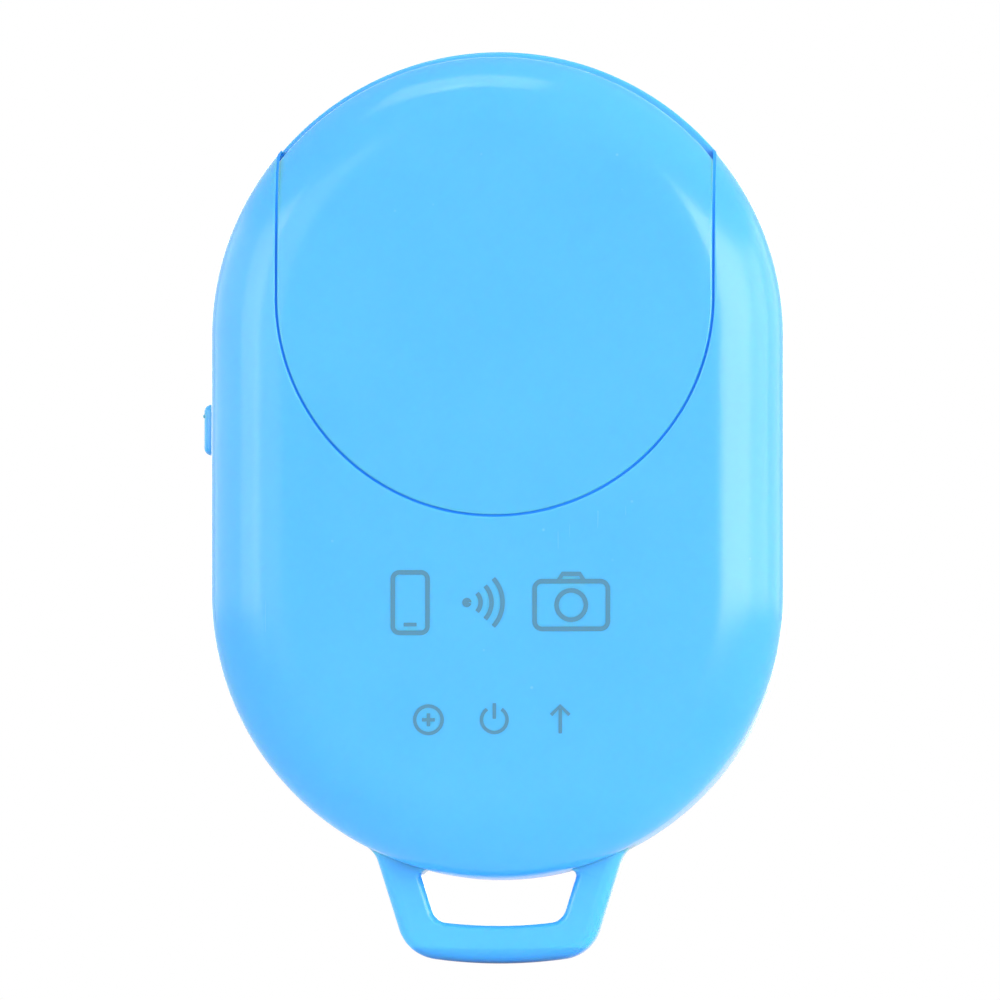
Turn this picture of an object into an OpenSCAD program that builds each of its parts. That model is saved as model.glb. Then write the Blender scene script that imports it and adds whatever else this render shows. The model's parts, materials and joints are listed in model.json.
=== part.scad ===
// Pocket camera shutter remote: two moulded shells, a battery door that slides off,
// two front buttons and a side power switch round one circuit board and a coin cell.
// Lengths are in millimetres. The case stands on its lanyard loop: X runs across it,
// Z along it, and the rear face with the battery door looks along -Y. Every piece is
// drawn lying flat, with y along the case and z out of the rear face, and then stood up.

/* [Case] */
// Width of the case
body_w = 31.4; // [31:0.1:34]
// Length of the case without its loop
body_l = 45.4; // [45:0.1:52]
// Thickness from the front rim to the rear face
case_t = 10; // [9.9:0.1:12]
// How much of the thickness the rear shell takes
rear_t = 4.2; // [4.1:0.05:4.5]
// Wall of both shells
wall = 1.3; // [1.1:0.05:1.35]
// Radius of the long rounding round the rear face
rear_edge_r = 3.3; // [3:0.05:3.35]
// Radius of the rounding round the front rim
front_edge_r = 2.4; // [1.8:0.1:2.6]

/* [Seam between the shells] */
// Height of the spigot that centres the rear shell in the front shell
spigot_h = 0.8; // [0.6:0.05:0.9]
// Wall of the spigot
spigot_t = 1; // [0.8:0.05:1.05]
// Clearance between the spigot and the front shell
spigot_gap = 0.1; // [0.06:0.01:0.12]
// Radius of the snap ribs along the spigot
snap_r = 0.2; // [0.15:0.01:0.22]
// Length of each snap rib
snap_l = 4; // [3:0.1:5]
// Distance of the snap ribs from the middle of the straight sides
snap_reach = 4.6; // [4:0.1:5]

/* [Lanyard loop] */
// How far the loop reaches below the case
loop_drop = 4.6; // [4.2:0.1:6]
// Width of the loop's bars
loop_bar = 2.05; // [1.8:0.05:2.1]
// Thickness of the loop
loop_t = 2.9; // [2.4:0.1:3.2]
// Half width of the loop where its sides would meet the ground
loop_half_w = 4.91; // [4.6:0.01:5.4]
// Lean of the loop's sides, in degrees
loop_lean = 17.4; // [12:0.1:20]
// Outer radius of the loop's lower corners
loop_corner_r = 2.35; // [2.2:0.05:2.6]
// Radius of the fillet in the loop's hole at those corners
loop_fillet_r = 0.95; // [0.7:0.05:1.2]
// Radius of the bowed lower bar
loop_bow_r = 26.5; // [22:0.5:34]
// Rounding of the bars' edges
loop_edge_r = 0.7; // [0.4:0.05:0.9]
// Radius of the flare where the loop joins the case
loop_flare_r = 1.5; // [1:0.1:2]

/* [Battery door] */
// Width of the door
door_w = 23.8; // [23.6:0.1:24.4]
// Height of the door's round end over the case's upper arc centre
door_rise = 2; // [1.9:0.1:2.6]
// Wall of the door
door_t = 1.2; // [1.1:0.05:1.3]
// Seam round the door
door_gap = 0.12; // [0.1:0.01:0.16]
// Step from the case's outline back to the door's upper edge
door_step = 0.45; // [0.3:0.05:0.5]
// Radius of the rounding over the door's upper edge
door_edge_r = 2.95; // [2.7:0.05:3]
// Clearance between the door and the floor that it slides on
slide_gap = 0.1; // [0.08:0.01:0.12]
// Length of each side hook
hook_l = 4; // [3:0.1:4.2]
// Wall of each side hook
hook_t = 0.45; // [0.35:0.01:0.48]
// Thickness of the toe under each rail
toe_t = 0.5; // [0.4:0.05:0.6]
// Width of the rails that the hooks run under
rail_w = 0.35; // [0.3:0.01:0.38]
// Width of the tab at the door's lower end
tab_w = 6; // [4:0.1:8]
// Reach of the tab under the shell's edge
tab_l = 0.6; // [0.4:0.05:0.7]
// Thickness of the tab
tab_t = 0.45; // [0.35:0.05:0.5]

/* [Battery bay] */
// Thickness of the floor round the coin cell
floor_t = 0.8; // [0.7:0.05:0.9]
// Wall of the frame under the door's edge
frame_wall = 1; // [0.8:0.05:1.1]
// Wall of the well round the coin cell
well_wall = 0.75; // [0.6:0.01:0.78]
// Clearance round the coin cell
cell_gap = 0.2; // [0.15:0.01:0.22]
// Clearance over the coin cell
cell_head = 0.05; // [0.03:0.01:0.08]

/* [Coin cell] */
// Diameter of the coin cell
cell_d = 20; // [19.8:0.05:20.05]
// Thickness of the coin cell
cell_h = 3.2; // [3.1:0.05:3.25]
// Width of the gasket between its rim and its negative cap
gasket_w = 0.7; // [0.6:0.05:1.2]
// Height of the step between cap and rim
cap_step = 0.35; // [0.25:0.05:0.45]
// Wall of the can's crimped rim
crimp_t = 0.4; // [0.3:0.05:0.5]
// Rounding of the can's edge
can_edge_r = 0.4; // [0.3:0.05:0.6]

/* [Circuit board] */
// Thickness of the circuit board
board_t = 0.8; // [0.6:0.05:0.85]
// Clearance between the board's edge and the spigot
board_gap = 0.2; // [0.15:0.05:0.4]
// Room between the board and the coin cell
contact_rise = 0.45; // [0.4:0.01:0.5]
// Sheet of the battery contacts
contact_t = 0.2; // [0.15:0.01:0.22]
// Width of the battery contacts
contact_w = 4; // [3:0.1:4.5]

/* [Front face] */
// Depth of the front field under the rim
field_depth = 0.7; // [0.5:0.05:0.8]
// Width of the rim round the front field
rim_w = 3.5; // [3.3:0.1:3.8]
// Thickness of the front wall
front_wall = 1.1; // [1:0.05:1.15]
// Rounding of the rim's inner edge
crest_r = 0.5; // [0.3:0.05:0.6]

/* [Buttons] */
// Diameter of the large button
large_d = 17.2; // [15:0.1:17.6]
// Diameter of the small button
small_d = 10.4; // [9.5:0.1:10.6]
// Distance of the small button from the lower end of the front field
small_margin = 1.9; // [1.7:0.1:2.2]
// Distance of either button's edge from the centre of the status light between them
light_room = 2.3; // [2.2:0.05:2.5]
// Clearance round the buttons
button_gap = 0.15; // [0.12:0.01:0.2]
// How far the buttons lie under the rim
button_sink = 0.25; // [0.15:0.05:0.3]
// Travel of the buttons
button_run = 0.25; // [0.2:0.01:0.3]
// Thickness of the button flanges
flange_t = 0.45; // [0.35:0.05:0.5]
// Reach of the button flanges behind the front wall
flange_w = 0.65; // [0.5:0.05:0.7]
// Depth of the dished button tops
dish_depth = 0.35; // [0.2:0.05:0.4]
// Rounding of the button rims
button_edge_r = 0.4; // [0.3:0.05:0.45]
// Width of the keys that stop the buttons from turning
key_w = 1.2; // [1:0.1:1.5]

/* [Tact switches] */
// Side of a tact switch
tact_w = 4; // [3.6:0.1:4.2]
// Height of a tact switch with its plunger
tact_h = 1.5; // [1.45:0.05:1.6]
// Height of its base
tact_base_h = 1; // [0.95:0.01:1.05]
// Sheet of its cover
tact_sheet = 0.15; // [0.1:0.01:0.18]
// Diameter of its plunger
plunger_d = 1.7; // [1.4:0.1:1.9]

/* [Power switch] */
// Length of the knob
knob_l = 2.8; // [2.6:0.1:2.9]
// Height of the knob through the thickness of the case
knob_h = 1.7; // [1.5:0.1:1.8]
// How far the knob stands out of the case
knob_out = 0.65; // [0.5:0.05:0.9]
// Rounding of the knob's corners
knob_edge_r = 0.45; // [0.3:0.05:0.5]
// Height of the knob's centre over the middle of the case when switched on
knob_rise = 2.05; // [1.3:0.05:2.3]
// Travel of the knob
knob_run = 1.1; // [0.9:0.05:1.2]
// Clearance of the knob in its window
knob_gap = 0.1; // [0.08:0.01:0.12]
// Wall of the knob's inner plate
knob_plate_t = 0.55; // [0.45:0.05:0.6]
// Depth of the shallow dish round the window
window_dish = 0.13; // [0.08:0.01:0.2]
// Length of the slide switch under the knob
slider_l = 6; // [5.6:0.1:6.4]
// Depth of the slide switch
slider_w = 2.7; // [2.4:0.1:3]
// Height of the slide switch
slider_h = 1.4; // [1.35:0.05:1.5]

/* [Fastening and light] */
// Diameter of the board screws' heads
screw_head_d = 2.6; // [2.4:0.1:2.8]
// Diameter of the board screws
screw_d = 1.36; // [1.2:0.02:1.4]
// Distance of the screws from the middle of the case
screw_x = 10; // [9.8:0.1:10.2]
// How far the screws lie below the centre of the case's lower arc
screw_drop = 0.3; // [0:0.1:1.3]
// Wall of the screw bosses
boss_wall = 1; // [0.8:0.05:1.1]
// Diameter of the status light
light_d = 1.6; // [1.3:0.1:1.8]

/* [Hidden] */
$fn = 72;
dish_facets = 720;

// Colours of the mouldings and of what lies inside
shell_blue = "#66c6fe";
board_green = "#1f6b45";
steel_grey = "#c9ccd0";
gold = "#d8b26a";
chip_black = "#26282b";
nylon_white = "#ece9e0";
lens_clear = "#dff2ff";
ceramic_tan = "#b99a6b";

// Overrun of every cut past the face that it opens
over = 1;

// Plan of the case: two arcs of one radius joined by straight sides
body_r = body_w / 2;
low_y = loop_drop + body_r;
high_y = loop_drop + body_l - body_r;
top_y = loop_drop + body_l;
mid_y = (low_y + high_y) / 2;
field_r = body_r - rim_w;
small_y = low_y - field_r + small_margin + small_d / 2;
light_y = small_y + small_d / 2 + light_room;
large_y = light_y + light_room + large_d / 2;
knob_y = mid_y + knob_rise;
screw_y = low_y - screw_drop;
inner_r = body_r - wall;
spigot_r = inner_r - spigot_gap;
spigot_in_r = spigot_r - spigot_t;
board_r = spigot_in_r - board_gap;

// Levels through the thickness, rear positive
rear_z = case_t / 2;
front_z = -case_t / 2;
part_z = rear_z - rear_t;
door_in_z = rear_z - door_t;
floor_z = door_in_z - slide_gap;
floor_low_z = floor_z - floor_t;
cell_top_z = floor_z - cell_head;
cell_low_z = cell_top_z - cell_h;
board_top_z = cell_low_z - contact_rise;
board_low_z = board_top_z - board_t;
field_z = front_z + field_depth;
front_in_z = field_z + front_wall;
plunger_z = board_low_z - tact_h;
button_z = front_z + button_sink;
flange_gap = 0.05;
flange_z = front_in_z + flange_gap;

// Door, its opening and the frame round it
door_r = door_w / 2;
door_y = high_y + door_rise;
open_r = door_r + door_gap;
door_out_r = body_r - door_step;
door_in_r = door_out_r - door_t;
frame_out_r = door_in_r - slide_gap;
frame_in_r = frame_out_r - frame_wall;
frame_edge_r = door_edge_r - door_t - slide_gap;
lip_z = part_z + door_gap;
slot_out_x = open_r - rail_w;
hook_out_x = slot_out_x - slide_gap;
hook_in_x = hook_out_x - hook_t;
slot_in_x = hook_in_x - slide_gap;
toe_top_z = floor_low_z - slide_gap;
toe_low_z = toe_top_z - toe_t;
cell_r = cell_d / 2;
cap_r = cell_r - crimp_t - gasket_w;
bore_r = cell_r + cell_gap;
well_r = bore_r + well_wall;
contact_y = door_y - cell_r - cell_gap / 2;
contact_foot_l = contact_w / 2;
bend_share = 0.65;

// Lanyard loop: centre and sweep of its corner, bow and flare, and the fillet in its hole
loop_set = 0.15;
loop_top_z = part_z - loop_set;
loop_low_z = loop_top_z - loop_t;
lean_tan = tan(loop_lean);
lean_cos = cos(loop_lean);
corner_k = loop_half_w - loop_corner_r / lean_cos;
corner_b = loop_bow_r - corner_k * lean_tan;
corner_c = corner_k ^ 2 + loop_bow_r ^ 2 - (loop_bow_r - loop_corner_r) ^ 2;
corner_y = (corner_b - sqrt(corner_b ^ 2 - corner_c / lean_cos ^ 2)) * lean_cos ^ 2;
corner_x = corner_k + corner_y * lean_tan;
bow_angle = asin(corner_x / (loop_bow_r - loop_corner_r));
flare_k = loop_half_w + loop_flare_r / lean_cos;
flare_b = low_y - flare_k * lean_tan;
flare_c = flare_k ^ 2 + low_y ^ 2 - (body_r + loop_flare_r) ^ 2;
flare_y = (flare_b - sqrt(flare_b ^ 2 - flare_c / lean_cos ^ 2)) * lean_cos ^ 2;
flare_x = flare_k + flare_y * lean_tan;
flare_share = 0.75;
flare_turn = flare_share * (atan2(low_y - flare_y, flare_x) - loop_lean);
corner_turn = 90 - loop_lean - bow_angle;
corner_in_r = loop_corner_r - loop_bar;
fillet_run = (loop_fillet_r - corner_in_r) * tan(corner_turn / 2);
fillet_shift = (loop_fillet_r - corner_in_r) / cos(corner_turn / 2);
fillet_steps = 2;
bow_steps = 6;
corner_steps = 6;
flare_steps = 5;
edge_steps = 3;

// Board parts: clearances and small sizes that belong to the pieces that carry them
screw_head_h = 0.55;
screw_slot_w = 0.3;
screw_slot_depth = 0.3;
boss_r = screw_d / 2 + boss_wall;
screw_bore_gap = 0.02;
screw_tip_gap = 0.3;
screw_slot_share = 0.65;
screw_slot_l = screw_slot_share * screw_head_d;
board_hole_gap = 0.15;
peg_x = 7.6;
peg_rise = 9.3;
peg_y = high_y + peg_rise;
peg_r = 0.5;
peg_gap = 0.06;
peg_foot_r = 1.1;
peg_tip_gap = 0.05;
post_inset = 2.7;
post_angle = 52;
post_x = (board_r - post_inset) * cos(post_angle);
post_y = low_y - (board_r - post_inset) * sin(post_angle);
post_r = 0.9;
key_gap = 0.1;
key_h = 0.9;
dimple_r = 1.45;
plunger_gap = 0.08;
plunger_foot_h = 0.28;
plunger_foot_w = 0.4;
foot_gap = 0.02;
dimple_room = 0.15;
dimple_depth = foot_gap + plunger_foot_h + button_run + dimple_room;
cover_tab_w = 1.2;
terminal_w = 0.7;
terminal_out = 0.5;
terminal_t = 0.2;
terminal_share = 0.33;
light_gap = 0.05;
light_flange = 0.4;
light_flange_t = 0.4;
light_rise = 0.05;
led_l = 1.6;
led_w = 0.8;
led_h = 0.7;
led_gap = 0.1;

// Power switch: window, knob and the slide switch that it moves
knob_z = board_low_z - slider_h / 2;
window_l = knob_l + knob_run + 2 * knob_gap;
window_y = knob_y - knob_run / 2;
window_h = knob_h + 2 * knob_gap;
plate_lap = 0.35;
plate_l = knob_l + 2 * knob_run + 2 * knob_gap;
plate_h = knob_h + 2 * plate_lap;
plate_out_x = inner_r - flange_gap;
plate_in_x = plate_out_x - knob_plate_t;
plate_recess = 0.05;
recess_l = plate_l + knob_run + 2 * knob_gap;
recess_h = plate_h + 2 * knob_gap;
dish_lap = 0.35;
dish_l = window_l + 2 * dish_lap;
dish_cut_r = (dish_l ^ 2 / 4 + window_dish ^ 2) / (2 * window_dish);
slider_inset = 0.2;
slider_out_x = board_r - slider_inset;
slider_in_x = slider_out_x - slider_w;
slider_sheet = 0.2;
slider_base_h = 0.35;
stem_w = 1.3;
stem_h = 0.7;
stem_gap = 0.05;
stem_reach = 0.7;
shuttle_w = 2;

module stand() {
    rotate([90, 0, 0]) children();
}

module both_sides() {
    children();
    mirror([1, 0, 0]) children();
}

// Solid between levels z0 and z1, at its place in the plan
module block(x0, x1, y0, y1, z0, z1) {
    translate([x0, y0, z0]) cube([x1 - x0, y1 - y0, z1 - z0]);
}

module peg(x, y, r, z0, z1) {
    translate([x, y, z0]) cylinder(r = r, h = z1 - z0);
}

// Sweeps a half section round the plan of the case: x outwards, y through the thickness
module obround() {
    translate([0, high_y, 0]) rotate_extrude(angle = 180) children();
    translate([0, low_y, 0]) rotate([0, 0, 180]) rotate_extrude(angle = 180) children();
    translate([0, high_y, 0]) rotate([90, 0, 0]) linear_extrude(height = high_y - low_y) {
        children();
        mirror([1, 0]) children();
    }
}

// Half section with its outer edge rounded at the rear
module rear_section(r, z0, z1, edge) {
    translate([0, z0]) square([r, z1 - edge - z0]);
    translate([0, z0]) square([r - edge, z1 - z0]);
    translate([r - edge, z1 - edge]) intersection() {
        circle(r = edge);
        square(edge);
    }
}

// The same with the rounding at the front
module front_section(r, z0, z1, edge) {
    mirror([0, 1]) rear_section(r, -z1, -z0, edge);
}

// The door's outline: a round lower end and straight sides that run out at the top
module d_prism(r, z0, z1) {
    translate([0, 0, z0]) linear_extrude(height = z1 - z0) {
        translate([0, door_y]) circle(r = r);
        translate([-r, door_y]) square([2 * r, top_y + over - door_y]);
    }
}

// Middle of the rear shell's wall, where inner pieces of that shell end
module rear_mid_wall() {
    obround() rear_section(body_r - wall / 2, part_z, rear_z - wall / 2, rear_edge_r - wall / 2);
}

// Ring that centres the shells, with a shoulder behind the wall as far as the door's opening
module spigot() {
    obround() translate([spigot_in_r, part_z - spigot_h]) square([spigot_t, spigot_h + wall / 4]);
    difference() {
        obround() translate([spigot_in_r, part_z]) square([body_r - wall / 2 - spigot_in_r, spigot_h]);
        block(-open_r, open_r, door_y, top_y + over, part_z - over, rear_z);
    }
}

module snap_ribs(r) {
    both_sides() for (s = [-1, 1])
        translate([spigot_r, mid_y + s * snap_reach + snap_l / 2, part_z - spigot_h / 2])
            rotate([90, 0, 0]) cylinder(r = r, h = snap_l);
}

// Floor, cheeks and head wall that carry the door round the coin cell
module door_frame() {
    peg(0, door_y, open_r + frame_wall, floor_low_z, rear_z - wall / 2);
    intersection() {
        rear_mid_wall();
        both_sides() block(open_r, open_r + frame_wall, door_y, top_y, part_z, rear_z);
    }
    intersection() {
        obround() translate([frame_in_r, part_z]) square([frame_wall, floor_z - part_z]);
        block(-open_r - frame_wall / 2, open_r + frame_wall / 2, door_y, top_y, part_z, floor_z);
    }
}

module door_opening() {
    difference() {
        d_prism(open_r, part_z - over / 2, rear_z + over);
        obround() rear_section(frame_out_r, part_z - over, floor_z, frame_edge_r);
    }
}

module hook_slots() {
    both_sides() {
        block(slot_in_x, slot_out_x, door_y - slide_gap, top_y, toe_low_z - slide_gap, rear_z);
        block(slot_in_x, open_r, door_y - slide_gap, top_y, toe_low_z - slide_gap, floor_low_z);
    }
}

// Shallow dish in both shells' sides for the fingertip that moves the knob
module window_hollow() {
    peg(window_dish - body_r - dish_cut_r, window_y, dish_cut_r, front_z - over, rear_z + over);
}

module rear_shell() color(shell_blue) stand() difference() {
    union() {
        difference() {
            union() {
                difference() {
                    obround() rear_section(body_r, part_z, rear_z, rear_edge_r);
                    obround() rear_section(inner_r, part_z - over, rear_z - wall, rear_edge_r - wall);
                }
                door_frame();
            }
            door_opening();
        }
        spigot();
        snap_ribs(snap_r);
        peg(0, door_y, well_r, board_top_z + slide_gap, floor_low_z + floor_t / 2);
        both_sides() peg(post_x, post_y, post_r, board_top_z, rear_z - wall / 2);
    }
    peg(0, door_y, bore_r, board_top_z, rear_z);
    hook_slots();
    intersection() {
        obround() translate([frame_out_r, lip_z - slide_gap]) square([wall + over, spigot_h]);
        block(-open_r, open_r, door_y, top_y + over, part_z, rear_z);
    }
    block(-tab_w / 2 - door_gap, tab_w / 2 + door_gap, door_y - open_r - tab_l, door_y - bore_r,
        floor_z, door_in_z + tab_t + slide_gap);
    block(-contact_w / 2 - cell_gap, contact_w / 2 + cell_gap, door_y - well_r - over, door_y - cell_r / 2,
        board_top_z, floor_low_z - well_wall / 2);
    window_hollow();
}

module battery_door() color(shell_blue) stand() {
    difference() {
        intersection() {
            obround() rear_section(door_out_r, part_z, rear_z, door_edge_r);
            d_prism(door_r, lip_z, rear_z + over);
        }
        obround() rear_section(door_in_r, part_z - over, door_in_z, door_edge_r - door_t);
    }
    both_sides() {
        block(hook_in_x, hook_out_x, door_y, door_y + hook_l, toe_low_z, door_in_z + door_t / 2);
        block(hook_in_x, door_r, door_y, door_y + hook_l, toe_low_z, toe_top_z);
    }
    block(-tab_w / 2, tab_w / 2, door_y - door_r - tab_l + slide_gap, door_y - bore_r,
        door_in_z, door_in_z + tab_t);
}

// How much further the bar reaches into the hole, at a run along a straight bar from its corner
function fillet_on_bar(run) = loop_fillet_r - sqrt(loop_fillet_r ^ 2 - max(fillet_run - run, 0) ^ 2);

// The same within the corner, at a turn from its middle
function fillet_in_corner(turn) = corner_in_r + fillet_shift * cos(turn)
    - sqrt(loop_fillet_r ^ 2 - (fillet_shift * sin(turn)) ^ 2);

// Rings of the loop from its lowest point up its right side: x, y, turn, outer and inner reach
bow_r = loop_bow_r - loop_bar / 2;
fillet_turn = fillet_run / (loop_bow_r - loop_bar) * 180 / PI;
bow_turns = concat(
    [for (i = [0 : bow_steps]) (bow_angle - fillet_turn) * i / bow_steps],
    [for (i = [1 : fillet_steps]) bow_angle - fillet_turn * (1 - i / fillet_steps)]
);
loop_bow_rings = [for (a = bow_turns)
    let (run = (bow_angle - a) / fillet_turn * fillet_run)
        [bow_r * sin(a), loop_bow_r - bow_r * cos(a), a, loop_bar / 2, loop_bar / 2 + fillet_on_bar(run)]];
loop_corner_rings = [for (i = [1 : corner_steps])
    let (
        turn = corner_turn * i / corner_steps,
        a = bow_angle + turn,
        r = loop_corner_r - loop_bar / 2,
        inner = loop_bar / 2 + fillet_in_corner(turn - corner_turn / 2)
    )
        [corner_x + r * sin(a), corner_y - r * cos(a), a, loop_bar / 2, inner]];
side_x = corner_x + (loop_corner_r - loop_bar / 2) * lean_cos;
side_y = corner_y - (loop_corner_r - loop_bar / 2) * sin(loop_lean);
flare_run = (flare_x - side_x) * sin(loop_lean) + (flare_y - side_y) * lean_cos;
function side_ring(run, reach) = [side_x + run * sin(loop_lean), side_y + run * lean_cos,
    90 - loop_lean, reach, loop_bar / 2 + fillet_on_bar(run)];
loop_side_rings = [
    for (i = [1 : fillet_steps]) side_ring(fillet_run * i / fillet_steps, loop_bar / 2),
    for (i = [0 : flare_steps])
        let (a = flare_turn * i / flare_steps)
            side_ring(flare_run + loop_flare_r * sin(a), loop_bar / 2 + loop_flare_r * (1 - cos(a))),
    side_ring(flare_run + loop_flare_r * sin(flare_turn) + 2 * wall,
        loop_bar / 2 + loop_flare_r * (1 - cos(flare_turn)))
];
loop_half = concat(loop_bow_rings, loop_corner_rings, loop_side_rings);
loop_rings = concat(
    [for (i = [len(loop_half) - 1 : -1 : 1])
        [-loop_half[i].x, loop_half[i].y, -loop_half[i].z, loop_half[i][3], loop_half[i][4]]],
    loop_half
);

// Section of a bar on one ring: four rounded corners between its inner and outer edge
function ring_points(ring) = [
    for (q = [0 : 3], i = [0 : edge_steps])
        let (
            a = 90 * q + 90 * i / edge_steps,
            side = q == 0 || q == 3 ? ring[3] - loop_edge_r : loop_edge_r - ring[4],
            level = q < 2 ? loop_top_z - loop_edge_r : loop_low_z + loop_edge_r,
            u = side + loop_edge_r * cos(a)
        )
            [ring.x + u * sin(ring.z), ring.y - u * cos(ring.z), level + loop_edge_r * sin(a)]
];

module loop_bars() {
    n = 4 * (edge_steps + 1);
    count = len(loop_rings);
    polyhedron(
        points = [for (ring = loop_rings) each ring_points(ring)],
        faces = [
            [for (j = [n - 1 : -1 : 0]) j],
            for (i = [0 : count - 2], j = [0 : n - 1])
                let (k = (j + 1) % n)
                    each [
                        [(i + 1) * n + k, (i + 1) * n + j, i * n + j],
                        [i * n + k, (i + 1) * n + k, i * n + j]
                    ],
            [for (j = [0 : n - 1]) (count - 1) * n + j]
        ]
    );
}

// Keys behind the front wall at both ends of a button's flange, grown by a gap where they are cut
module button_keys(d, y, gap, z0, z1) {
    for (s = [-1, 1])
        translate([0, y + s * (d / 2 + button_gap + flange_w), 0])
            block(-key_w / 2 - gap, key_w / 2 + gap, -flange_w / 2 - gap, flange_w / 2 + gap, z0, z1);
}

module front_shell() color(shell_blue) stand() difference() {
    union() {
        difference() {
            union() {
                obround() front_section(body_r, front_z, part_z, front_edge_r);
                loop_bars();
            }
            obround() front_section(inner_r, front_in_z, part_z + over, front_edge_r - wall);
        }
        both_sides() {
            peg(screw_x, screw_y, boss_r, front_in_z - front_wall / 2, board_low_z);
            peg(peg_x, peg_y, peg_foot_r, front_in_z - front_wall / 2, board_low_z);
            peg(peg_x, peg_y, peg_r, board_low_z - board_t, board_top_z - peg_tip_gap);
        }
        button_keys(large_d, large_y, 0, field_z + front_wall / 2, front_in_z + key_h);
        button_keys(small_d, small_y, 0, field_z + front_wall / 2, front_in_z + key_h);
    }
    obround() {
        translate([0, front_z - over]) square([field_r, field_depth + over]);
        difference() {
            translate([0, front_z - over]) square([field_r + crest_r, over + crest_r]);
            translate([field_r + crest_r, front_z + crest_r]) circle(r = crest_r);
        }
    }
    peg(0, large_y, large_d / 2 + button_gap, front_z, front_in_z + over / 2);
    peg(0, small_y, small_d / 2 + button_gap, front_z, front_in_z + over / 2);
    peg(0, light_y, light_d / 2 + light_gap, front_z, front_in_z + over);
    both_sides() peg(screw_x, screw_y, screw_d / 2 + screw_bore_gap, front_in_z, board_low_z + over);
    snap_ribs(snap_r + spigot_gap / 2);
    block(-body_w, -inner_r / 2, window_y - window_l / 2, window_y + window_l / 2,
        knob_z - window_h / 2, knob_z + window_h / 2);
    block(-inner_r - plate_recess, -inner_r / 2, window_y - recess_l / 2, window_y + recess_l / 2,
        knob_z - recess_h / 2, knob_z + recess_h / 2);
    window_hollow();
}

// Dished cap with a flange behind the front wall and a post down to its switch
module button(d, y) {
    dish_r = ((d / 2 - 2 * button_edge_r) ^ 2 + dish_depth ^ 2) / (2 * dish_depth);
    difference() {
        translate([0, y, 0]) rotate_extrude() {
            difference() {
                front_section(d / 2, button_z, flange_z + flange_t, button_edge_r);
                translate([0, button_z + dish_depth - dish_r]) circle(r = dish_r, $fn = dish_facets);
            }
            translate([0, flange_z]) square([d / 2 + button_gap + flange_w, flange_t]);
            translate([0, flange_z]) square([plunger_d / 2, plunger_z - flange_z]);
        }
        button_keys(d, y, key_gap, flange_z - over, flange_z + over);
    }
}

module shutter_button_large() color(shell_blue) stand() button(large_d, large_y);

module shutter_button_small() color(shell_blue) stand() button(small_d, small_y);

module power_switch_knob() color(shell_blue) stand() difference() {
    union() {
        translate([0, knob_y, knob_z - knob_h / 2]) linear_extrude(height = knob_h) {
            translate([-body_r - knob_out + knob_edge_r, -knob_l / 2])
                square([body_r + knob_out - knob_edge_r - plate_in_x, knob_l]);
            translate([-body_r - knob_out, knob_edge_r - knob_l / 2])
                square([body_r + knob_out - plate_in_x, knob_l - 2 * knob_edge_r]);
            for (s = [-1, 1])
                translate([-body_r - knob_out + knob_edge_r, s * (knob_l / 2 - knob_edge_r)])
                    circle(r = knob_edge_r);
        }
        block(-plate_out_x, -plate_in_x, knob_y - plate_l / 2, knob_y + plate_l / 2,
            knob_z - plate_h / 2, knob_z + plate_h / 2);
    }
    block(-plate_out_x - stem_reach, -plate_in_x + over,
        knob_y - stem_w / 2 - stem_gap, knob_y + stem_w / 2 + stem_gap,
        knob_z - stem_h / 2 - stem_gap, knob_z + stem_h / 2 + stem_gap);
}

module status_light_lens() color(lens_clear) stand() {
    peg(0, light_y, light_d / 2, field_z - light_rise, board_low_z - led_h - led_gap);
    peg(0, light_y, light_d / 2 + light_flange, front_in_z, front_in_z + light_flange_t);
}

module circuit_board() color(board_green) stand() difference() {
    obround() translate([0, board_low_z]) square([board_r, board_t]);
    both_sides() {
        peg(screw_x, screw_y, screw_d / 2 + board_hole_gap, board_low_z - over, board_top_z + over);
        peg(peg_x, peg_y, peg_r + peg_gap, board_low_z - over, board_top_z + over);
    }
}

module board_screws() color(steel_grey) stand() both_sides() difference() {
    union() {
        peg(screw_x, screw_y, screw_head_d / 2, board_top_z, board_top_z + screw_head_h);
        peg(screw_x, screw_y, screw_d / 2, front_in_z + screw_tip_gap, board_top_z + screw_head_h / 2);
    }
    translate([screw_x, screw_y, board_top_z + screw_head_h]) {
        cube([screw_slot_l, screw_slot_w, 2 * screw_slot_depth], center = true);
        cube([screw_slot_w, screw_slot_l, 2 * screw_slot_depth], center = true);
    }
}

module coin_cell_can() color(steel_grey) stand() translate([0, door_y, 0]) rotate_extrude() difference() {
    rear_section(cell_r, cell_low_z + cap_step, cell_top_z, can_edge_r);
    translate([0, cell_low_z]) square([cell_r - crimp_t, 2 * cap_step + crimp_t]);
}

module coin_cell_gasket() color(nylon_white) stand() translate([0, door_y, 0]) rotate_extrude()
    translate([cap_r, cell_low_z + cap_step]) square([gasket_w, cap_step + crimp_t]);

module coin_cell_cap() color(steel_grey) stand() translate([0, door_y, 0]) rotate_extrude()
    front_section(cap_r, cell_low_z, cell_low_z + 2 * cap_step + crimp_t, cap_step);

// Spring tongue under the cell, bent up from its solder foot
module battery_contact_negative() color(gold) stand() {
    rise = contact_rise - contact_t / 4;
    run = cell_r / 2;
    translate([-contact_w / 2, door_y, board_top_z]) rotate([90, 0, 90]) linear_extrude(height = contact_w)
        polygon([[-run, 0], [-run / 2, 0], [run / 4, rise - contact_t], [run / 2, rise - contact_t],
            [run, contact_t], [run, 2 * contact_t], [run / 2, rise], [run / 4, rise],
            [-run / 2, contact_t], [-run, contact_t]]);
}

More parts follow.
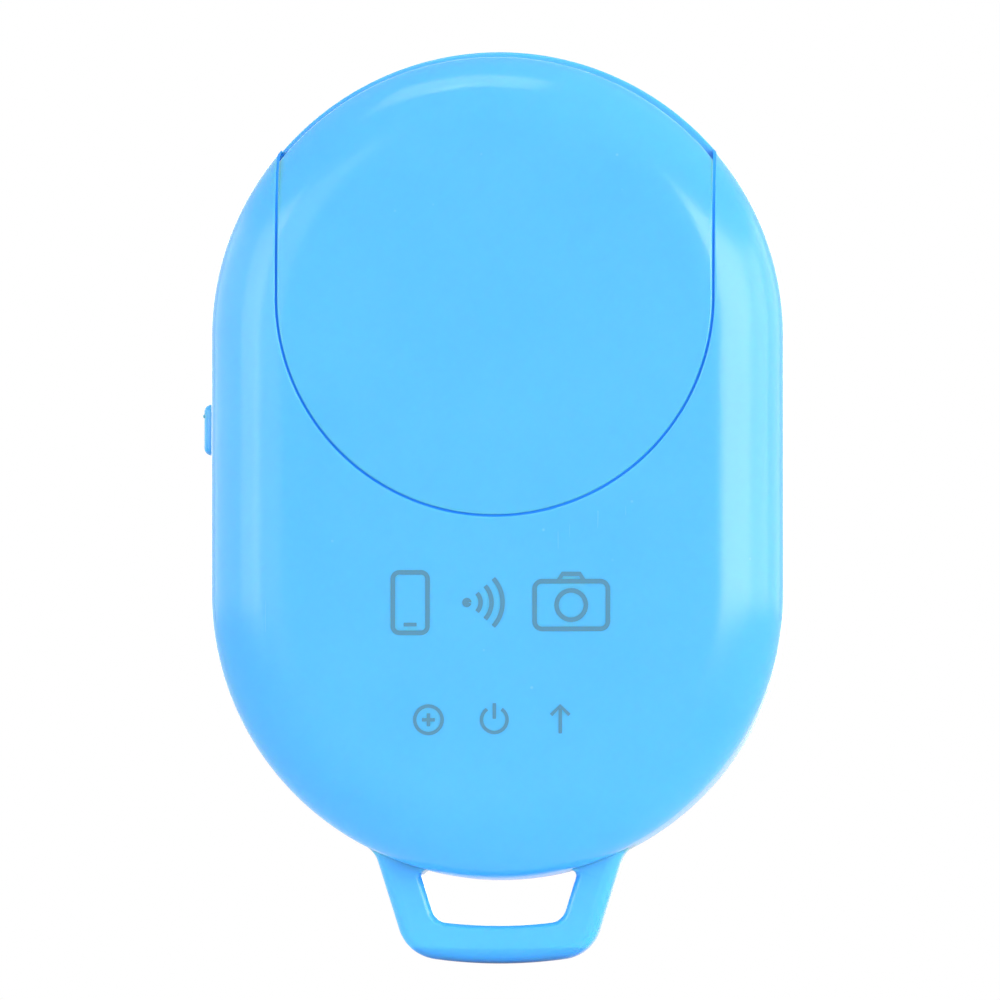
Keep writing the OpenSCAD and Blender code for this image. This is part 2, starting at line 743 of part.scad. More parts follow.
// Upright spring at the edge of the cell, on a foot towards the lower end
module battery_contact_positive() color(gold) stand() {
    rise = floor_low_z - well_wall - board_top_z;
    translate([-contact_w / 2, contact_y, board_top_z]) rotate([90, 0, 90]) linear_extrude(height = contact_w)
        polygon([[-contact_foot_l, 0], [-contact_t, 0], [0, bend_share * rise], [-contact_t, rise],
            [-2 * contact_t, rise], [-contact_t, bend_share * rise], [-2 * contact_t, contact_t],
            [-contact_foot_l, contact_t]]);
}

module tact_base(y) {
    difference() {
        block(-tact_w / 2, tact_w / 2, y - tact_w / 2, y + tact_w / 2,
            board_low_z - tact_base_h, board_low_z);
        peg(0, y, dimple_r, board_low_z - tact_base_h - over, board_low_z - tact_base_h + dimple_depth);
    }
    for (sx = [-1, 1], sy = [-1, 1])
        translate([sx * (tact_w + terminal_out) / 2, y + sy * terminal_share * tact_w,
            board_low_z - terminal_t / 2])
            cube([terminal_out, terminal_w, terminal_t], center = true);
}

module tact_cover(y) {
    low_z = board_low_z - tact_base_h;
    difference() {
        block(-tact_w / 2, tact_w / 2, y - tact_w / 2, y + tact_w / 2, low_z - tact_sheet, low_z);
        peg(0, y, plunger_d / 2 + plunger_gap, low_z - over, low_z + over);
    }
    for (s = [-1, 1])
        translate([0, y + s * (tact_w + tact_sheet) / 2, low_z + (tact_base_h / 2 - tact_sheet) / 2])
            cube([cover_tab_w, tact_sheet, tact_base_h / 2 + tact_sheet], center = true);
}

module tact_plunger(y) {
    foot_z = board_low_z - tact_base_h + foot_gap;
    peg(0, y, plunger_d / 2, plunger_z, foot_z + plunger_foot_h);
    peg(0, y, plunger_d / 2 + plunger_foot_w, foot_z, foot_z + plunger_foot_h);
}

module large_switch_base() color(chip_black) stand() tact_base(large_y);

module large_switch_cover() color(steel_grey) stand() tact_cover(large_y);

module large_switch_plunger() color(nylon_white) stand() tact_plunger(large_y);

module small_switch_base() color(chip_black) stand() tact_base(small_y);

module small_switch_cover() color(steel_grey) stand() tact_cover(small_y);

module small_switch_plunger() color(nylon_white) stand() tact_plunger(small_y);

module slide_switch_can() color(steel_grey) stand() difference() {
    block(-slider_out_x, -slider_in_x, window_y - slider_l / 2, window_y + slider_l / 2,
        board_low_z - slider_h, board_low_z);
    block(slider_sheet - slider_out_x, -slider_in_x - slider_sheet, window_y - slider_l / 2 + slider_sheet,
        window_y + slider_l / 2 - slider_sheet, board_low_z - slider_h + slider_sheet, board_low_z + over);
    block(-slider_out_x - over, -slider_in_x - slider_w / 2, window_y - knob_run / 2 - stem_w / 2 - knob_gap,
        window_y + knob_run / 2 + stem_w / 2 + knob_gap,
        knob_z - stem_h / 2 - stem_gap, knob_z + stem_h / 2 + stem_gap);
}

module slide_switch_base() color(chip_black) stand()
    block(slider_sheet - slider_out_x, -slider_in_x - slider_sheet, window_y - slider_l / 2 + slider_sheet,
        window_y + slider_l / 2 - slider_sheet, board_low_z - slider_base_h, board_low_z);

module slide_switch_actuator() color(nylon_white) stand() {
    block(-plate_out_x - stem_reach + stem_gap, -slider_in_x - slider_w / 2,
        knob_y - stem_w / 2, knob_y + stem_w / 2,
        knob_z - stem_h / 2, knob_z + stem_h / 2);
    block(slider_sheet + stem_gap - slider_out_x, -slider_in_x - slider_sheet - stem_gap,
        knob_y - shuttle_w / 2, knob_y + shuttle_w / 2,
        board_low_z - slider_h + slider_sheet + stem_gap, board_low_z - slider_base_h - stem_gap);
}

// Chips on the board's rear side, under the printed part of the shell
chip_w = 4;
chip_h = 0.85;
chip_x = -2.6;
memory_l = 4.9;
memory_w = 3.9;
memory_h = 1.4;
memory_stand = 0.1;
memory_x = 5;
lead_w = 0.4;
lead_out = 0.95;
lead_t = 0.2;
lead_pitch = 1.27;
leads_a_side = 4;
lead_shares = [0.33, 0.5, 0.67];
crystal_l = 3.2;
crystal_w = 2.5;
crystal_h = 0.7;
crystal_x = -6.5;
part_l = 1;
part_w = 0.5;
part_h = 0.5;
part_pitch = 1.5;
row_parts = 4;
trace_w = 0.4;
trace_t = 0.05;
trace_pitch = 1;
trace_h = 2;
trace_turns = 10;
trace_inset = 1.6;
chip_rise = 10.6;
chip_y = low_y - board_r + chip_rise;

module bluetooth_chip() color(chip_black) stand()
    block(chip_x - chip_w / 2, chip_x + chip_w / 2, chip_y - chip_w / 2, chip_y + chip_w / 2,
        board_top_z, board_top_z + chip_h);

module memory_chip() color(chip_black) stand()
    block(memory_x - memory_w / 2, memory_x + memory_w / 2, chip_y - memory_l / 2, chip_y + memory_l / 2,
        board_top_z + memory_stand, board_top_z + memory_stand + memory_h);

// Gull-wing leads, four a side
module memory_chip_leads() color(steel_grey) stand() translate([memory_x, chip_y, board_top_z]) both_sides()
    for (i = [0 : leads_a_side - 1])
        translate([memory_w / 2, (i - (leads_a_side - 1) / 2) * lead_pitch + lead_w / 2, 0])
            rotate([90, 0, 0]) linear_extrude(height = lead_w)
                polygon([[0, memory_h / 2], [lead_shares[0] * lead_out, memory_h / 2],
                    [lead_shares[1] * lead_out, 0], [lead_out, 0],
                    [lead_out, lead_t], [lead_shares[2] * lead_out, lead_t],
                    [lead_shares[1] * lead_out, memory_h / 2 + lead_t], [0, memory_h / 2 + lead_t]]);

module crystal_can() color(steel_grey) stand()
    block(crystal_x - crystal_w / 2, crystal_x + crystal_w / 2,
        chip_y - crystal_l / 2, chip_y + crystal_l / 2,
        board_top_z, board_top_z + crystal_h);

module status_led() color(nylon_white) stand()
    block(-led_w / 2, led_w / 2, light_y - led_l / 2, light_y + led_l / 2, board_low_z - led_h, board_low_z);

module chip_row(x, y) {
    for (i = [0 : row_parts - 1])
        block(x + i * part_pitch, x + i * part_pitch + part_w, y, y + part_l,
            board_top_z, board_top_z + part_h);
}

module chip_capacitors() color(ceramic_tan) stand()
    chip_row(chip_x - chip_w / 2, chip_y - chip_w / 2 - 2 * part_l);

module chip_resistors() color(chip_black) stand()
    chip_row(chip_x - chip_w / 2, chip_y + chip_w / 2 + part_l / 2);

// Meandering aerial at the lower end of the board
module antenna_trace() color(gold) stand() {
    start_x = -trace_turns * trace_pitch / 2;
    foot_y = low_y - board_r + trace_inset;
    for (i = [0 : trace_turns])
        block(start_x + i * trace_pitch - trace_w / 2, start_x + i * trace_pitch + trace_w / 2,
            foot_y, foot_y + trace_h, board_top_z, board_top_z + trace_t);
    for (i = [0 : trace_turns - 1])
        let (end_y = i % 2 == 0 ? foot_y + trace_h - trace_w : foot_y)
            block(start_x + i * trace_pitch, start_x + (i + 1) * trace_pitch, end_y, end_y + trace_w,
                board_top_z, board_top_z + trace_t);
}

rear_shell();
front_shell();
battery_door();
shutter_button_large();
shutter_button_small();
power_switch_knob();
status_light_lens();
circuit_board();
board_screws();
coin_cell_can();
coin_cell_gasket();
coin_cell_cap();
battery_contact_negative();
battery_contact_positive();
large_switch_base();
large_switch_cover();
large_switch_plunger();
small_switch_base();
small_switch_cover();
small_switch_plunger();
slide_switch_can();
slide_switch_base();
slide_switch_actuator();
bluetooth_chip();
memory_chip();
memory_chip_leads();
crystal_can();
status_led();
chip_capacitors();
chip_resistors();
antenna_trace();
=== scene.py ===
# %% [markdown]
# # A pocket camera remote in sky-blue plastic
#
# The object is a small moulded remote, seen from the rear: two shells, a battery door
# that slides off over the upper end, a lanyard loop and a power switch knob at the side.
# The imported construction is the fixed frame: it stays where it is, and every piece that
# is made here takes its place from it. Lengths are written in millimetres and turned
# into metres where a mesh is made.

# %% Load the frame
import json
import math

import bmesh
import bpy
from mathutils import Matrix, Vector

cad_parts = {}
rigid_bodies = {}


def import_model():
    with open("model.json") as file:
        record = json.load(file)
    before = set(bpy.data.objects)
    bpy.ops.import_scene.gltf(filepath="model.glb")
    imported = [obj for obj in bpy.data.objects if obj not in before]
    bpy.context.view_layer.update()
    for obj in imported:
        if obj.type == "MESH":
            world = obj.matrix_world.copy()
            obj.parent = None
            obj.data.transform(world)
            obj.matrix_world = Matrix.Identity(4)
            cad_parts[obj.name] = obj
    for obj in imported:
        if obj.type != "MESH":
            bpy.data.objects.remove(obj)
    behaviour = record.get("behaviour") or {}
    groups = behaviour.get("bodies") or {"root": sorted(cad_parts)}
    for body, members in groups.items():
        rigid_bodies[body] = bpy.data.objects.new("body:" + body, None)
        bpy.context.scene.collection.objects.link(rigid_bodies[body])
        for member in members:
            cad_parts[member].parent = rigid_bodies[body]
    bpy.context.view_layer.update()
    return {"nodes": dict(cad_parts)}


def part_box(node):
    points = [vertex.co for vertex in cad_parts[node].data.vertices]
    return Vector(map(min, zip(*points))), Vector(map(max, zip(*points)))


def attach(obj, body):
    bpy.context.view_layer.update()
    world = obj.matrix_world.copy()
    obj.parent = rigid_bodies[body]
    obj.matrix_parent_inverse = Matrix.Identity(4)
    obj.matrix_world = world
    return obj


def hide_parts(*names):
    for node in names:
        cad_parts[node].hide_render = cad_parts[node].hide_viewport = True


for leftover in list(bpy.data.objects):
    bpy.data.objects.remove(leftover)
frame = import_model()
nodes = frame["nodes"]

# %% [markdown]
# ## The camera
#
# The photograph was taken with a long lens, almost square to the rear face, from a little
# below and a little to the right. A long focal length far away keeps the outline as flat as
# the photograph shows it, so the camera comes first and every later choice is seen
# through it.

# %% Place the camera
MM = 0.001
CAMERA_AZIMUTH = 3.0
CAMERA_ELEVATION = -2.5
CAMERA_DISTANCE = 0.9
FRAME_HEIGHT = 0.05488
AIM = Vector((0.00005, 0.0, 0.02541))

camera_data = bpy.data.cameras.new("camera")
camera = bpy.data.objects.new("camera", camera_data)
bpy.context.scene.collection.objects.link(camera)
azimuth, elevation = math.radians(CAMERA_AZIMUTH), math.radians(CAMERA_ELEVATION)
away = Vector((math.sin(azimuth) * math.cos(elevation), -math.cos(azimuth) * math.cos(elevation),
               math.sin(elevation)))
camera.location = AIM + away * CAMERA_DISTANCE
camera.rotation_euler = (-away).to_track_quat("-Z", "Y").to_euler()
camera_data.sensor_width = 36.0
camera_data.lens = camera_data.sensor_width * CAMERA_DISTANCE / FRAME_HEIGHT
camera_data.clip_start = 0.05
camera_data.clip_end = 20.0
bpy.context.scene.camera = camera
print("camera lens", round(camera_data.lens), "mm at", CAMERA_DISTANCE, "m")

# %% [markdown]
# ## The plan of the case
#
# Seen from the rear, the case is a stadium: two arcs of one radius round a short upright
# spine. Every level line of the moulding is a ring at some distance from that spine, so a
# point of the case is given by two numbers: its distance from the spine, and how far it
# stands out of the rear face. The door is a second outline cut through those rings, and
# each ring meets it once on either side. Meshes that follow the rings reflect a lamp in
# clean bands, which a triangulated solid wouldn't.

# %% Measure the plan from the frame
shell_low, shell_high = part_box("rear_shell")
BODY_R = round((shell_high.x - shell_low.x) / 2 / MM, 2)
LOW_Z = round(shell_low.z / MM + BODY_R, 2)
HIGH_Z = 34.3
DOOR_Z = 36.3
REAR = round(-shell_low.y / MM, 2)
SEAM = 0.8
print("case radius", BODY_R, "spine from", LOW_Z, "to", HIGH_Z, "rear face at", REAR)


def place(x, out, z):
    """A point from its distances across, out of the rear face and along the case, in millimetres."""
    return Vector((x * MM, -out * MM, z * MM))


def spine_distance(x, z):
    nearest = min(max(z, LOW_Z), HIGH_Z)
    return math.hypot(x, z - nearest)


def quarter(steps):
    """The angles of a quarter turn in equal steps."""
    return [math.pi / 2 * k / steps for k in range(steps + 1)]


def arc(x, z, radius, start, end, steps=20):
    """Points of an arc round (x, z), between two directions in degrees."""
    turns = [math.radians(start + (end - start) * i / steps) for i in range(steps + 1)]
    return [(x + radius * math.cos(a), z + radius * math.sin(a)) for a in turns]


# %% Where a ring meets the door's outline
def crossing(ring, door_r):
    """The point on the right where the ring of that radius meets the door's outline."""
    if ring <= door_r:
        z = DOOR_Z - math.sqrt(door_r ** 2 - ring ** 2)
        if z <= HIGH_Z:
            return ring, z
    z = (ring ** 2 - door_r ** 2) / (2 * (DOOR_Z - HIGH_Z)) + (HIGH_Z + DOOR_Z) / 2
    if z <= DOOR_Z:
        return math.sqrt(max(ring ** 2 - (z - HIGH_Z) ** 2, 0.0)), z
    return door_r, HIGH_Z + math.sqrt(ring ** 2 - door_r ** 2)


def half_ring(ring, start_z, start_angle, side, count):
    """Points from a start down to the lower end (side -1) or up to the upper end (side 1)."""
    centre_z = LOW_Z if side < 0 else HIGH_Z
    first_arc = ring * start_angle if side < 0 else 0.0
    top_z = min(start_z, HIGH_Z)
    straight = top_z - LOW_Z if side < 0 else HIGH_Z - top_z
    last_arc = ring * (math.pi / 2 if side < 0 else math.pi / 2 - start_angle)
    total = first_arc + straight + last_arc
    points = []
    for i in range(count + 1):
        s = total * i / count
        if s < first_arc:
            a = start_angle - s / ring
            points.append((ring * math.cos(a), HIGH_Z + ring * math.sin(a)))
        elif straight > 0 and s <= first_arc + straight:
            z = top_z + side * (s - first_arc)
            points.append((ring, z))
        else:
            a = (s - first_arc - straight) / ring if ring else 0.0
            a = a if side < 0 else a + start_angle
            points.append((ring * math.cos(a), centre_z + side * ring * math.sin(a)))
    return points


def open_ring(ring, door_r, side, count):
    """The part of a ring below the door's outline (side -1) or inside it (side 1), right to left."""
    x, z = crossing(ring, door_r)
    angle = math.atan2(z - HIGH_Z, x) if z > HIGH_Z and ring else 0.0
    half = half_ring(ring, z, angle, side, count)
    return half + [(-px, pz) for px, pz in reversed(half[:-1])]


def full_ring(ring, count):
    """A whole ring, from the upper end round the right side."""
    half = half_ring(ring, HIGH_Z + ring, math.pi / 2, -1, count // 2)
    return half + [(-x, z) for x, z in reversed(half[1:-1])]


# %% [markdown]
# ## Mesh helpers
#
# A closed skin is built from rows of points. Neighbouring rows are joined by quads, points
# that fall together are merged, the normals are turned outwards, and only edges that are
# really sharp stay sharp, so the rest shades smoothly.

# %% Build a mesh from rows
SHARP = math.radians(35)
MERGE = 2e-7


def finish_mesh(name, builder):
    """Merges doubles, turns the normals outwards, shades smoothly and links the new object."""
    bmesh.ops.remove_doubles(builder, verts=builder.verts, dist=MERGE)
    bmesh.ops.dissolve_degenerate(builder, dist=MERGE, edges=builder.edges)
    bmesh.ops.recalc_face_normals(builder, faces=builder.faces)
    if builder.calc_volume(signed=True) < 0:
        bmesh.ops.reverse_faces(builder, faces=builder.faces)
    mesh = bpy.data.meshes.new(name)
    builder.to_mesh(mesh)
    builder.free()
    shade(mesh)
    piece = bpy.data.objects.new(name, mesh)
    bpy.context.scene.collection.objects.link(piece)
    return piece


def shade(mesh):
    mesh.polygons.foreach_set("use_smooth", [True] * len(mesh.polygons))
    mesh.set_sharp_from_angle(angle=SHARP)


def add_rows(builder, rows, closed=False):
    """Joins neighbouring rows of points by quads and returns the rows of vertices."""
    made = [[builder.verts.new(p) for p in row] for row in rows]
    for row, above in zip(made, made[1:]):
        for i in range(len(row) if closed else len(row) - 1):
            j = (i + 1) % len(row)
            builder.faces.new((row[i], row[j], above[j], above[i]))
    return made


def add_revolve(builder, profile, z, count):
    """A solid of revolution about an axis through the case's middle plane, at a height.

    The profile gives radius and level. One that returns to its first point makes a ring, and any
    other one is closed by flat ends.
    """
    rows = []
    for radius, out in profile:
        turns = [2 * math.pi * i / count for i in range(count)]
        rows.append([place(radius * math.cos(a), out, z + radius * math.sin(a)) for a in turns])
    made = add_rows(builder, rows, closed=True)
    for row, (radius, _) in ((made[0], profile[0]), (made[-1], profile[-1])):
        if profile[0] != profile[-1] and radius > 0:
            builder.faces.new(row)


def add_box(builder, low, high, bevel=0.0, steps=3):
    """A block between two corners (x, out, z) with its edges rounded."""
    centre = [(a + b) / 2 for a, b in zip(low, high)]
    size = [abs(b - a) for a, b in zip(low, high)]
    made = bmesh.ops.create_cube(builder, size=1.0, matrix=Matrix.Translation(place(*centre))
                                 @ Matrix.Diagonal((size[0] * MM, size[1] * MM, size[2] * MM, 1.0)))
    if bevel:
        edges = {e for v in made["verts"] for e in v.link_edges}
        bmesh.ops.bevel(builder, geom=list(edges), offset=bevel * MM, segments=steps, profile=0.5,
                        affect="EDGES")


def cut(piece, cutters):
    """Takes the cutters out of a piece and removes them."""
    for cutter in cutters:
        tool = piece.modifiers.new("cut", "BOOLEAN")
        tool.operation, tool.solver, tool.object = "DIFFERENCE", "MANIFOLD", cutter
    graph = bpy.context.evaluated_depsgraph_get()
    mesh = bpy.data.meshes.new_from_object(piece.evaluated_get(graph))
    piece.modifiers.clear()
    old, piece.data = piece.data, mesh
    mesh.name = piece.name
    bpy.data.meshes.remove(old)
    for cutter in cutters:
        bpy.data.objects.remove(cutter)
    shade(mesh)
    return piece


def join(piece, others):
    """Adds the meshes of other objects to a piece, which stay closed bodies of their own."""
    builder = bmesh.new()
    for source in [piece, *others]:
        builder.from_mesh(source.data)
    mesh = bpy.data.meshes.new(piece.name)
    builder.to_mesh(mesh)
    builder.free()
    shade(mesh)
    piece.data = mesh
    for source in others:
        bpy.data.objects.remove(source)
    return piece


# %% [markdown]
# ## The long rounding of the rear face
#
# The rear face isn't quite flat. It has a slight crown, so that it reflects a lamp in a soft
# patch and not in one flash, and its rounding starts softly and well inside the case, as
# moulded plastic does. The door carries on the same curve, which makes it flush along the
# seam, and is cut off just before the curve ends, with a fine edge over the upper rim.

# %% The profile of the rear face
CROWN = 0.14
SOFTNESS = 2.2
EDGE_REACH = 4.6
EDGE_DROP = 3.3
CUT_EDGE = 0.25
LEAST_STEP = 0.02
RIM_ROUND = 0.1
OUTLINE_STEPS = 64


def crown(ring, dome=CROWN):
    return dome * (ring / BODY_R) ** 4


def fall(ring, flat_r, reach, drop):
    """How far a rounding has fallen at a ring, when it starts at flat_r and falls by drop over reach."""
    t = min(max((ring - flat_r) / reach, 0.0), 1.0)
    return drop * (1 - (1 - t ** SOFTNESS) ** (1 / SOFTNESS))


def rounding(flat_r, reach, drop, outer_r, steps):
    """Ring and fall from flat_r outwards, cut at outer_r by a fine edge if the curve runs past it."""
    points = []
    sines = [math.sin(a) for a in quarter(steps)]
    for across, left in zip(sines, reversed(sines)):
        points.append((flat_r + reach * across ** (2 / SOFTNESS), drop - drop * left ** (2 / SOFTNESS)))
    if points[-1][0] <= outer_r + 1e-6:
        return points
    end = outer_r - CUT_EDGE / 6
    kept = [(ring, low) for ring, low in points if ring < end - LEAST_STEP]
    low = fall(end, flat_r, reach, drop)
    slope = math.atan2(low - fall(end - 0.01, flat_r, reach, drop), 0.01)
    radius = (outer_r - end) / (1 - math.sin(slope))
    turns = [slope + (math.pi / 2 - slope) * k / 5 for k in range(6)]
    return kept + [(outer_r - radius + radius * math.sin(t), low + radius * (math.cos(slope) - math.cos(t)))
                   for t in turns]


def rear_profile(door_r, outer_r, wall, low_out, inner_edge, reach=EDGE_REACH, drop=EDGE_DROP,
                 top=REAR, dome=CROWN, run_out=BODY_R, steps=26):
    """Rows of a face from the spine to the rim: ring and level outside, ring and level inside.

    The first rows pass through evenly spaced points of the door's outline, so the seam is smooth.
    """
    flat_r = run_out - reach
    inner_r = outer_r - wall
    inner_flat = inner_r - inner_edge

    def row(ring, low):
        inner = ring
        if ring > inner_flat:
            inner = inner_flat + inner_edge * (ring - inner_flat) / (outer_r - inner_flat)
        inner_low = fall(inner, inner_flat, inner_edge, inner_edge)
        return ring, top - crown(ring, dome) - low, inner, top - wall - crown(inner, dome) - inner_low

    rows = []
    for a in quarter(OUTLINE_STEPS):
        ring = spine_distance(door_r * math.sin(a), DOOR_Z - door_r * math.cos(a))
        rows.append(row(ring, fall(ring, flat_r, reach, drop)))
    least = rows[-1][0] + LEAST_STEP
    for ring, low in rounding(flat_r, reach, drop, outer_r, steps):
        if ring > least:
            rows.append(row(ring, low))
    start = rows[-1][1]
    for out in (start - (start - low_out) / 2, low_out + RIM_ROUND):
        rows.append((outer_r, out, inner_r, min(out, rows[-1][3])))
    for ring, out in arc(outer_r - RIM_ROUND, low_out + RIM_ROUND, RIM_ROUND, 0, -90, 3)[1:]:
        rows.append((ring, out, inner_r, low_out))
    return rows


LIP = 0.15
SEAM_EDGE = 0.07
FADE_FROM, FADE_TO = 12.9, 14.6
STEP_LEFT = 0.01


def moulded_skin(name, rows, door_r, side, count, step_depth=0.0):
    """A closed skin with a rounded edge along the door's outline, inside (side 1) or round it (-1).

    With a step depth, the part below it is narrower by LIP: the shell gets a lip there, and the
    door a rebate that passes over the lip. The step fades out towards the rim of the case.
    """
    builder = bmesh.new()
    bends = quarter(5)[:-1]
    low_r = door_r - (LIP if step_depth else 0.0)
    outer, inner = [], []
    for ring, out, inner_ring, inner_out in rows:
        edge = []
        if step_depth:
            fade = min(max((FADE_TO - ring) / (FADE_TO - FADE_FROM), 0.0), 1.0)
            depth = SEAM_EDGE + STEP_LEFT * step_depth
            depth += (step_depth - SEAM_EDGE) * fade * (1 - STEP_LEFT)
            edge = [(*crossing(ring, low_r), out - depth), (*crossing(ring, door_r), out - depth)]
        for a in bends:
            r = door_r - side * SEAM_EDGE * (1 - math.cos(a))
            edge.append((*crossing(ring, r), out - SEAM_EDGE + SEAM_EDGE * math.sin(a)))
        middle = [(x, z, out) for x, z in open_ring(ring, door_r - side * SEAM_EDGE, side, count)]
        mirrored = [(-x, z, level) for x, z, level in reversed(edge)]
        outer.append([place(x, level, z) for x, z, level in edge + middle + mirrored])
        under = open_ring(inner_ring, low_r, side, count)
        under = [under[0]] * len(edge) + under + [under[-1]] * len(edge)
        inner.append([place(x, inner_out, z) for x, z in under])
    outside = add_rows(builder, outer)
    inside = add_rows(builder, inner)
    for i in range(len(outside) - 1):
        for j in (0, -1):
            builder.faces.new((outside[i][j], outside[i + 1][j], inside[i + 1][j], inside[i][j]))
    for j in range(len(outside[-1]) - 1):
        builder.faces.new((outside[-1][j], outside[-1][j + 1], inside[-1][j + 1], inside[-1][j]))
    return finish_mesh(name, builder)


# %% [markdown]
# ## The rear shell
#
# The shell is one moulding with a D-shaped opening that runs out at the upper end. Its skin
# follows the rings, and the bay under the door is added to it: a floor with the bore for the
# coin cell, and the rounded step that the door slides on.

# %% Make the rear shell
WALL = 1.3
OPEN_R = 12.02
CELL_BORE_R = 10.2
SKIN_COUNT = 110
SHELL_STEP, DOOR_STEP = 0.18, 0.13

shell_rows = rear_profile(OPEN_R, BODY_R, WALL, SEAM, 2.0)
rear_shell = moulded_skin("rear_shell_moulding", shell_rows, OPEN_R, -1, SKIN_COUNT, SHELL_STEP)
print("rear skin faces", len(rear_shell.data.polygons))

# %% [markdown]
# ## The battery door
#
# The door is made the same way from the other side of the outline, a little smaller all
# round, so that the seam shows as a thin deep blue line. Two hooks run under the rails of
# the bay, and a tab slips under the shell's edge and keeps the lower end down.

# %% Make the battery door
DOOR_R = 11.9
DOOR_OUT_R = 15.25
DOOR_WALL = 1.2
HOOK_IN, HOOK_OUT, HOOK_L = 11.12, 11.57, 4.0
TOE_LOW, TOE_TOP = 2.3, 2.8
HOOK_EDGE = 0.06
TAB_W, TAB_OUT, TAB_SINK = 3.0, 0.5, 0.05
door_rows = rear_profile(DOOR_R, DOOR_OUT_R, DOOR_WALL, SEAM + 0.12, 1.75)
battery_door = moulded_skin("battery_door_moulding", door_rows, DOOR_R, 1, SKIN_COUNT, DOOR_STEP)
builder = bmesh.new()
for side in (-1, 1):
    add_box(builder, (side * HOOK_IN, TOE_LOW, DOOR_Z),
            (side * HOOK_OUT, REAR - DOOR_WALL / 2, DOOR_Z + HOOK_L), HOOK_EDGE)
    add_box(builder, (side * (HOOK_OUT - 0.2), TOE_LOW, DOOR_Z),
            (side * DOOR_R, TOE_TOP, DOOR_Z + HOOK_L), HOOK_EDGE)
add_box(builder, (-TAB_W, REAR - DOOR_WALL - TAB_SINK, DOOR_Z - DOOR_R - TAB_OUT),
        (TAB_W, REAR - DOOR_WALL + 0.45, DOOR_Z - CELL_BORE_R), 0.12)
join(battery_door, [finish_mesh("door_hooks", builder)])
print("door faces", len(battery_door.data.polygons))

# %% [markdown]
# ## The bay under the door
#
# With the door off, the shell shows a floor with a round well for the coin cell, the step
# that the door's upper end closes over, and two slots that the door's hooks run in. The
# bay is plain moulded work, so it is cut from one block with simple tools, and then joined
# to the skin.

# %% Cut the bay
FLOOR = 3.7
FLOOR_LOW = 2.9
FRAME_R = 13.95
BAY_LAP, BAY_EDGE = 0.5, 1.65
PLAY = 0.1
BORE_COUNT = 128


def tool(name, add, *sizes):
    """A cutter made by one of the adders."""
    builder = bmesh.new()
    add(builder, *sizes)
    return finish_mesh(name, builder)


bay_rows = rear_profile(OPEN_R + BAY_LAP, FRAME_R, FLOOR - FLOOR_LOW, SEAM, 0.85, reach=BAY_EDGE,
                        drop=BAY_EDGE, top=FLOOR, dome=0.0, run_out=FRAME_R, steps=10)
bay = moulded_skin("bay_floor", bay_rows, OPEN_R + BAY_LAP, 1, 60)
mouth, proud = 0.25, 0.03
bore_profile = [(CELL_BORE_R, -1.0), *arc(CELL_BORE_R + mouth, FLOOR + proud - mouth, mouth, 180, 90, 4),
                (CELL_BORE_R + mouth, FLOOR + 2.0)]
cutters = [tool("bore", add_revolve, bore_profile, DOOR_Z, BORE_COUNT)]
for side in (-1, 1):
    cutters.append(tool("slot", add_box, (side * (HOOK_IN - PLAY), 1.0, DOOR_Z - PLAY),
                        (side * (HOOK_OUT + PLAY), 6.0, 60.0)))
cut(bay, cutters)
well_r, well_top = CELL_BORE_R + 0.75, FLOOR_LOW + 0.2
well_profile = [(CELL_BORE_R, 0.1), (well_r, 0.1), (well_r, well_top), (CELL_BORE_R, well_top),
                (CELL_BORE_R, 0.1)]
well = tool("well", add_revolve, well_profile, DOOR_Z, BORE_COUNT)
pocket = tool("pocket", add_box, (-TAB_W - 0.12, FLOOR - PLAY, DOOR_Z - OPEN_R - TAB_OUT - PLAY),
              (TAB_W + 0.12, FLOOR + 0.65, DOOR_Z - CELL_BORE_R))
cut(rear_shell, [pocket])
join(rear_shell, [bay, well])
print("rear shell faces", len(rear_shell.data.polygons))

# %% [markdown]
# ## Printed symbols
#
# Below the door the rear face carries a little grey printing in plain pictures: a telephone,
# radio waves and a camera, over smaller ones for the cell, the power switch and the way the
# door slides. Ink is a film with a thickness of its own, so each line is a very thin closed
# strip that follows the face, and no picture is projected. Strips meet but never cross.

# %% Draw the symbols
INK_RISE = 0.012
INK_ROOT = 0.05
INK_SLOT = 2


def add_stroke(builder, points, width, closed=False):
    """A printed line through points (x, z): a thin strip that follows the rear face."""
    rows = []
    for i, (x, z) in enumerate(points):
        before = points[i - 1] if closed or i else points[0]
        after = points[(i + 1) % len(points)] if closed or i < len(points) - 1 else points[-1]
        dx, dz = after[0] - before[0], after[1] - before[1]
        half = width / 2 / math.hypot(dx, dz)
        row = []
        for side, rise in ((1, INK_RISE), (1, -INK_ROOT), (-1, -INK_ROOT), (-1, INK_RISE)):
            px, pz = x - side * half * dz, z + side * half * dx
            row.append(place(px, REAR - crown(spine_distance(px, pz)) + rise, pz))
        rows.append(row)
    made = add_rows(builder, rows + rows[:1] if closed else rows, closed=True)
    if not closed:
        builder.faces.new(made[0])
        builder.faces.new(made[-1])


def circle(x, z, radius):
    return arc(x, z, radius, 0, 360, 32)[:-1]


def rounded_frame(x, z, wide, high, corner):
    """A rectangle with round corners, as a closed line."""
    points = []
    for sx, sz, start in ((1, 1, 0), (-1, 1, 90), (-1, -1, 180), (1, -1, 270)):
        points += arc(x + sx * (wide / 2 - corner), z + sz * (high / 2 - corner), corner,
                      start, start + 90, 6)
    return points


# %% The two rows of symbols
LINE, SMALL_LINE = 0.24, 0.24 * 0.75
ROW_Z, SMALL_ROW_Z = 19.6, 13.2
PHONE_X, WAVES_X, CAMERA_X = -4.6, -1.5, 4.2
CAMERA_Z = ROW_Z - 0.15
CELL_X, SWITCH_X, ARROW_X = -3.6, 0.0, 3.6
ink = bmesh.new()


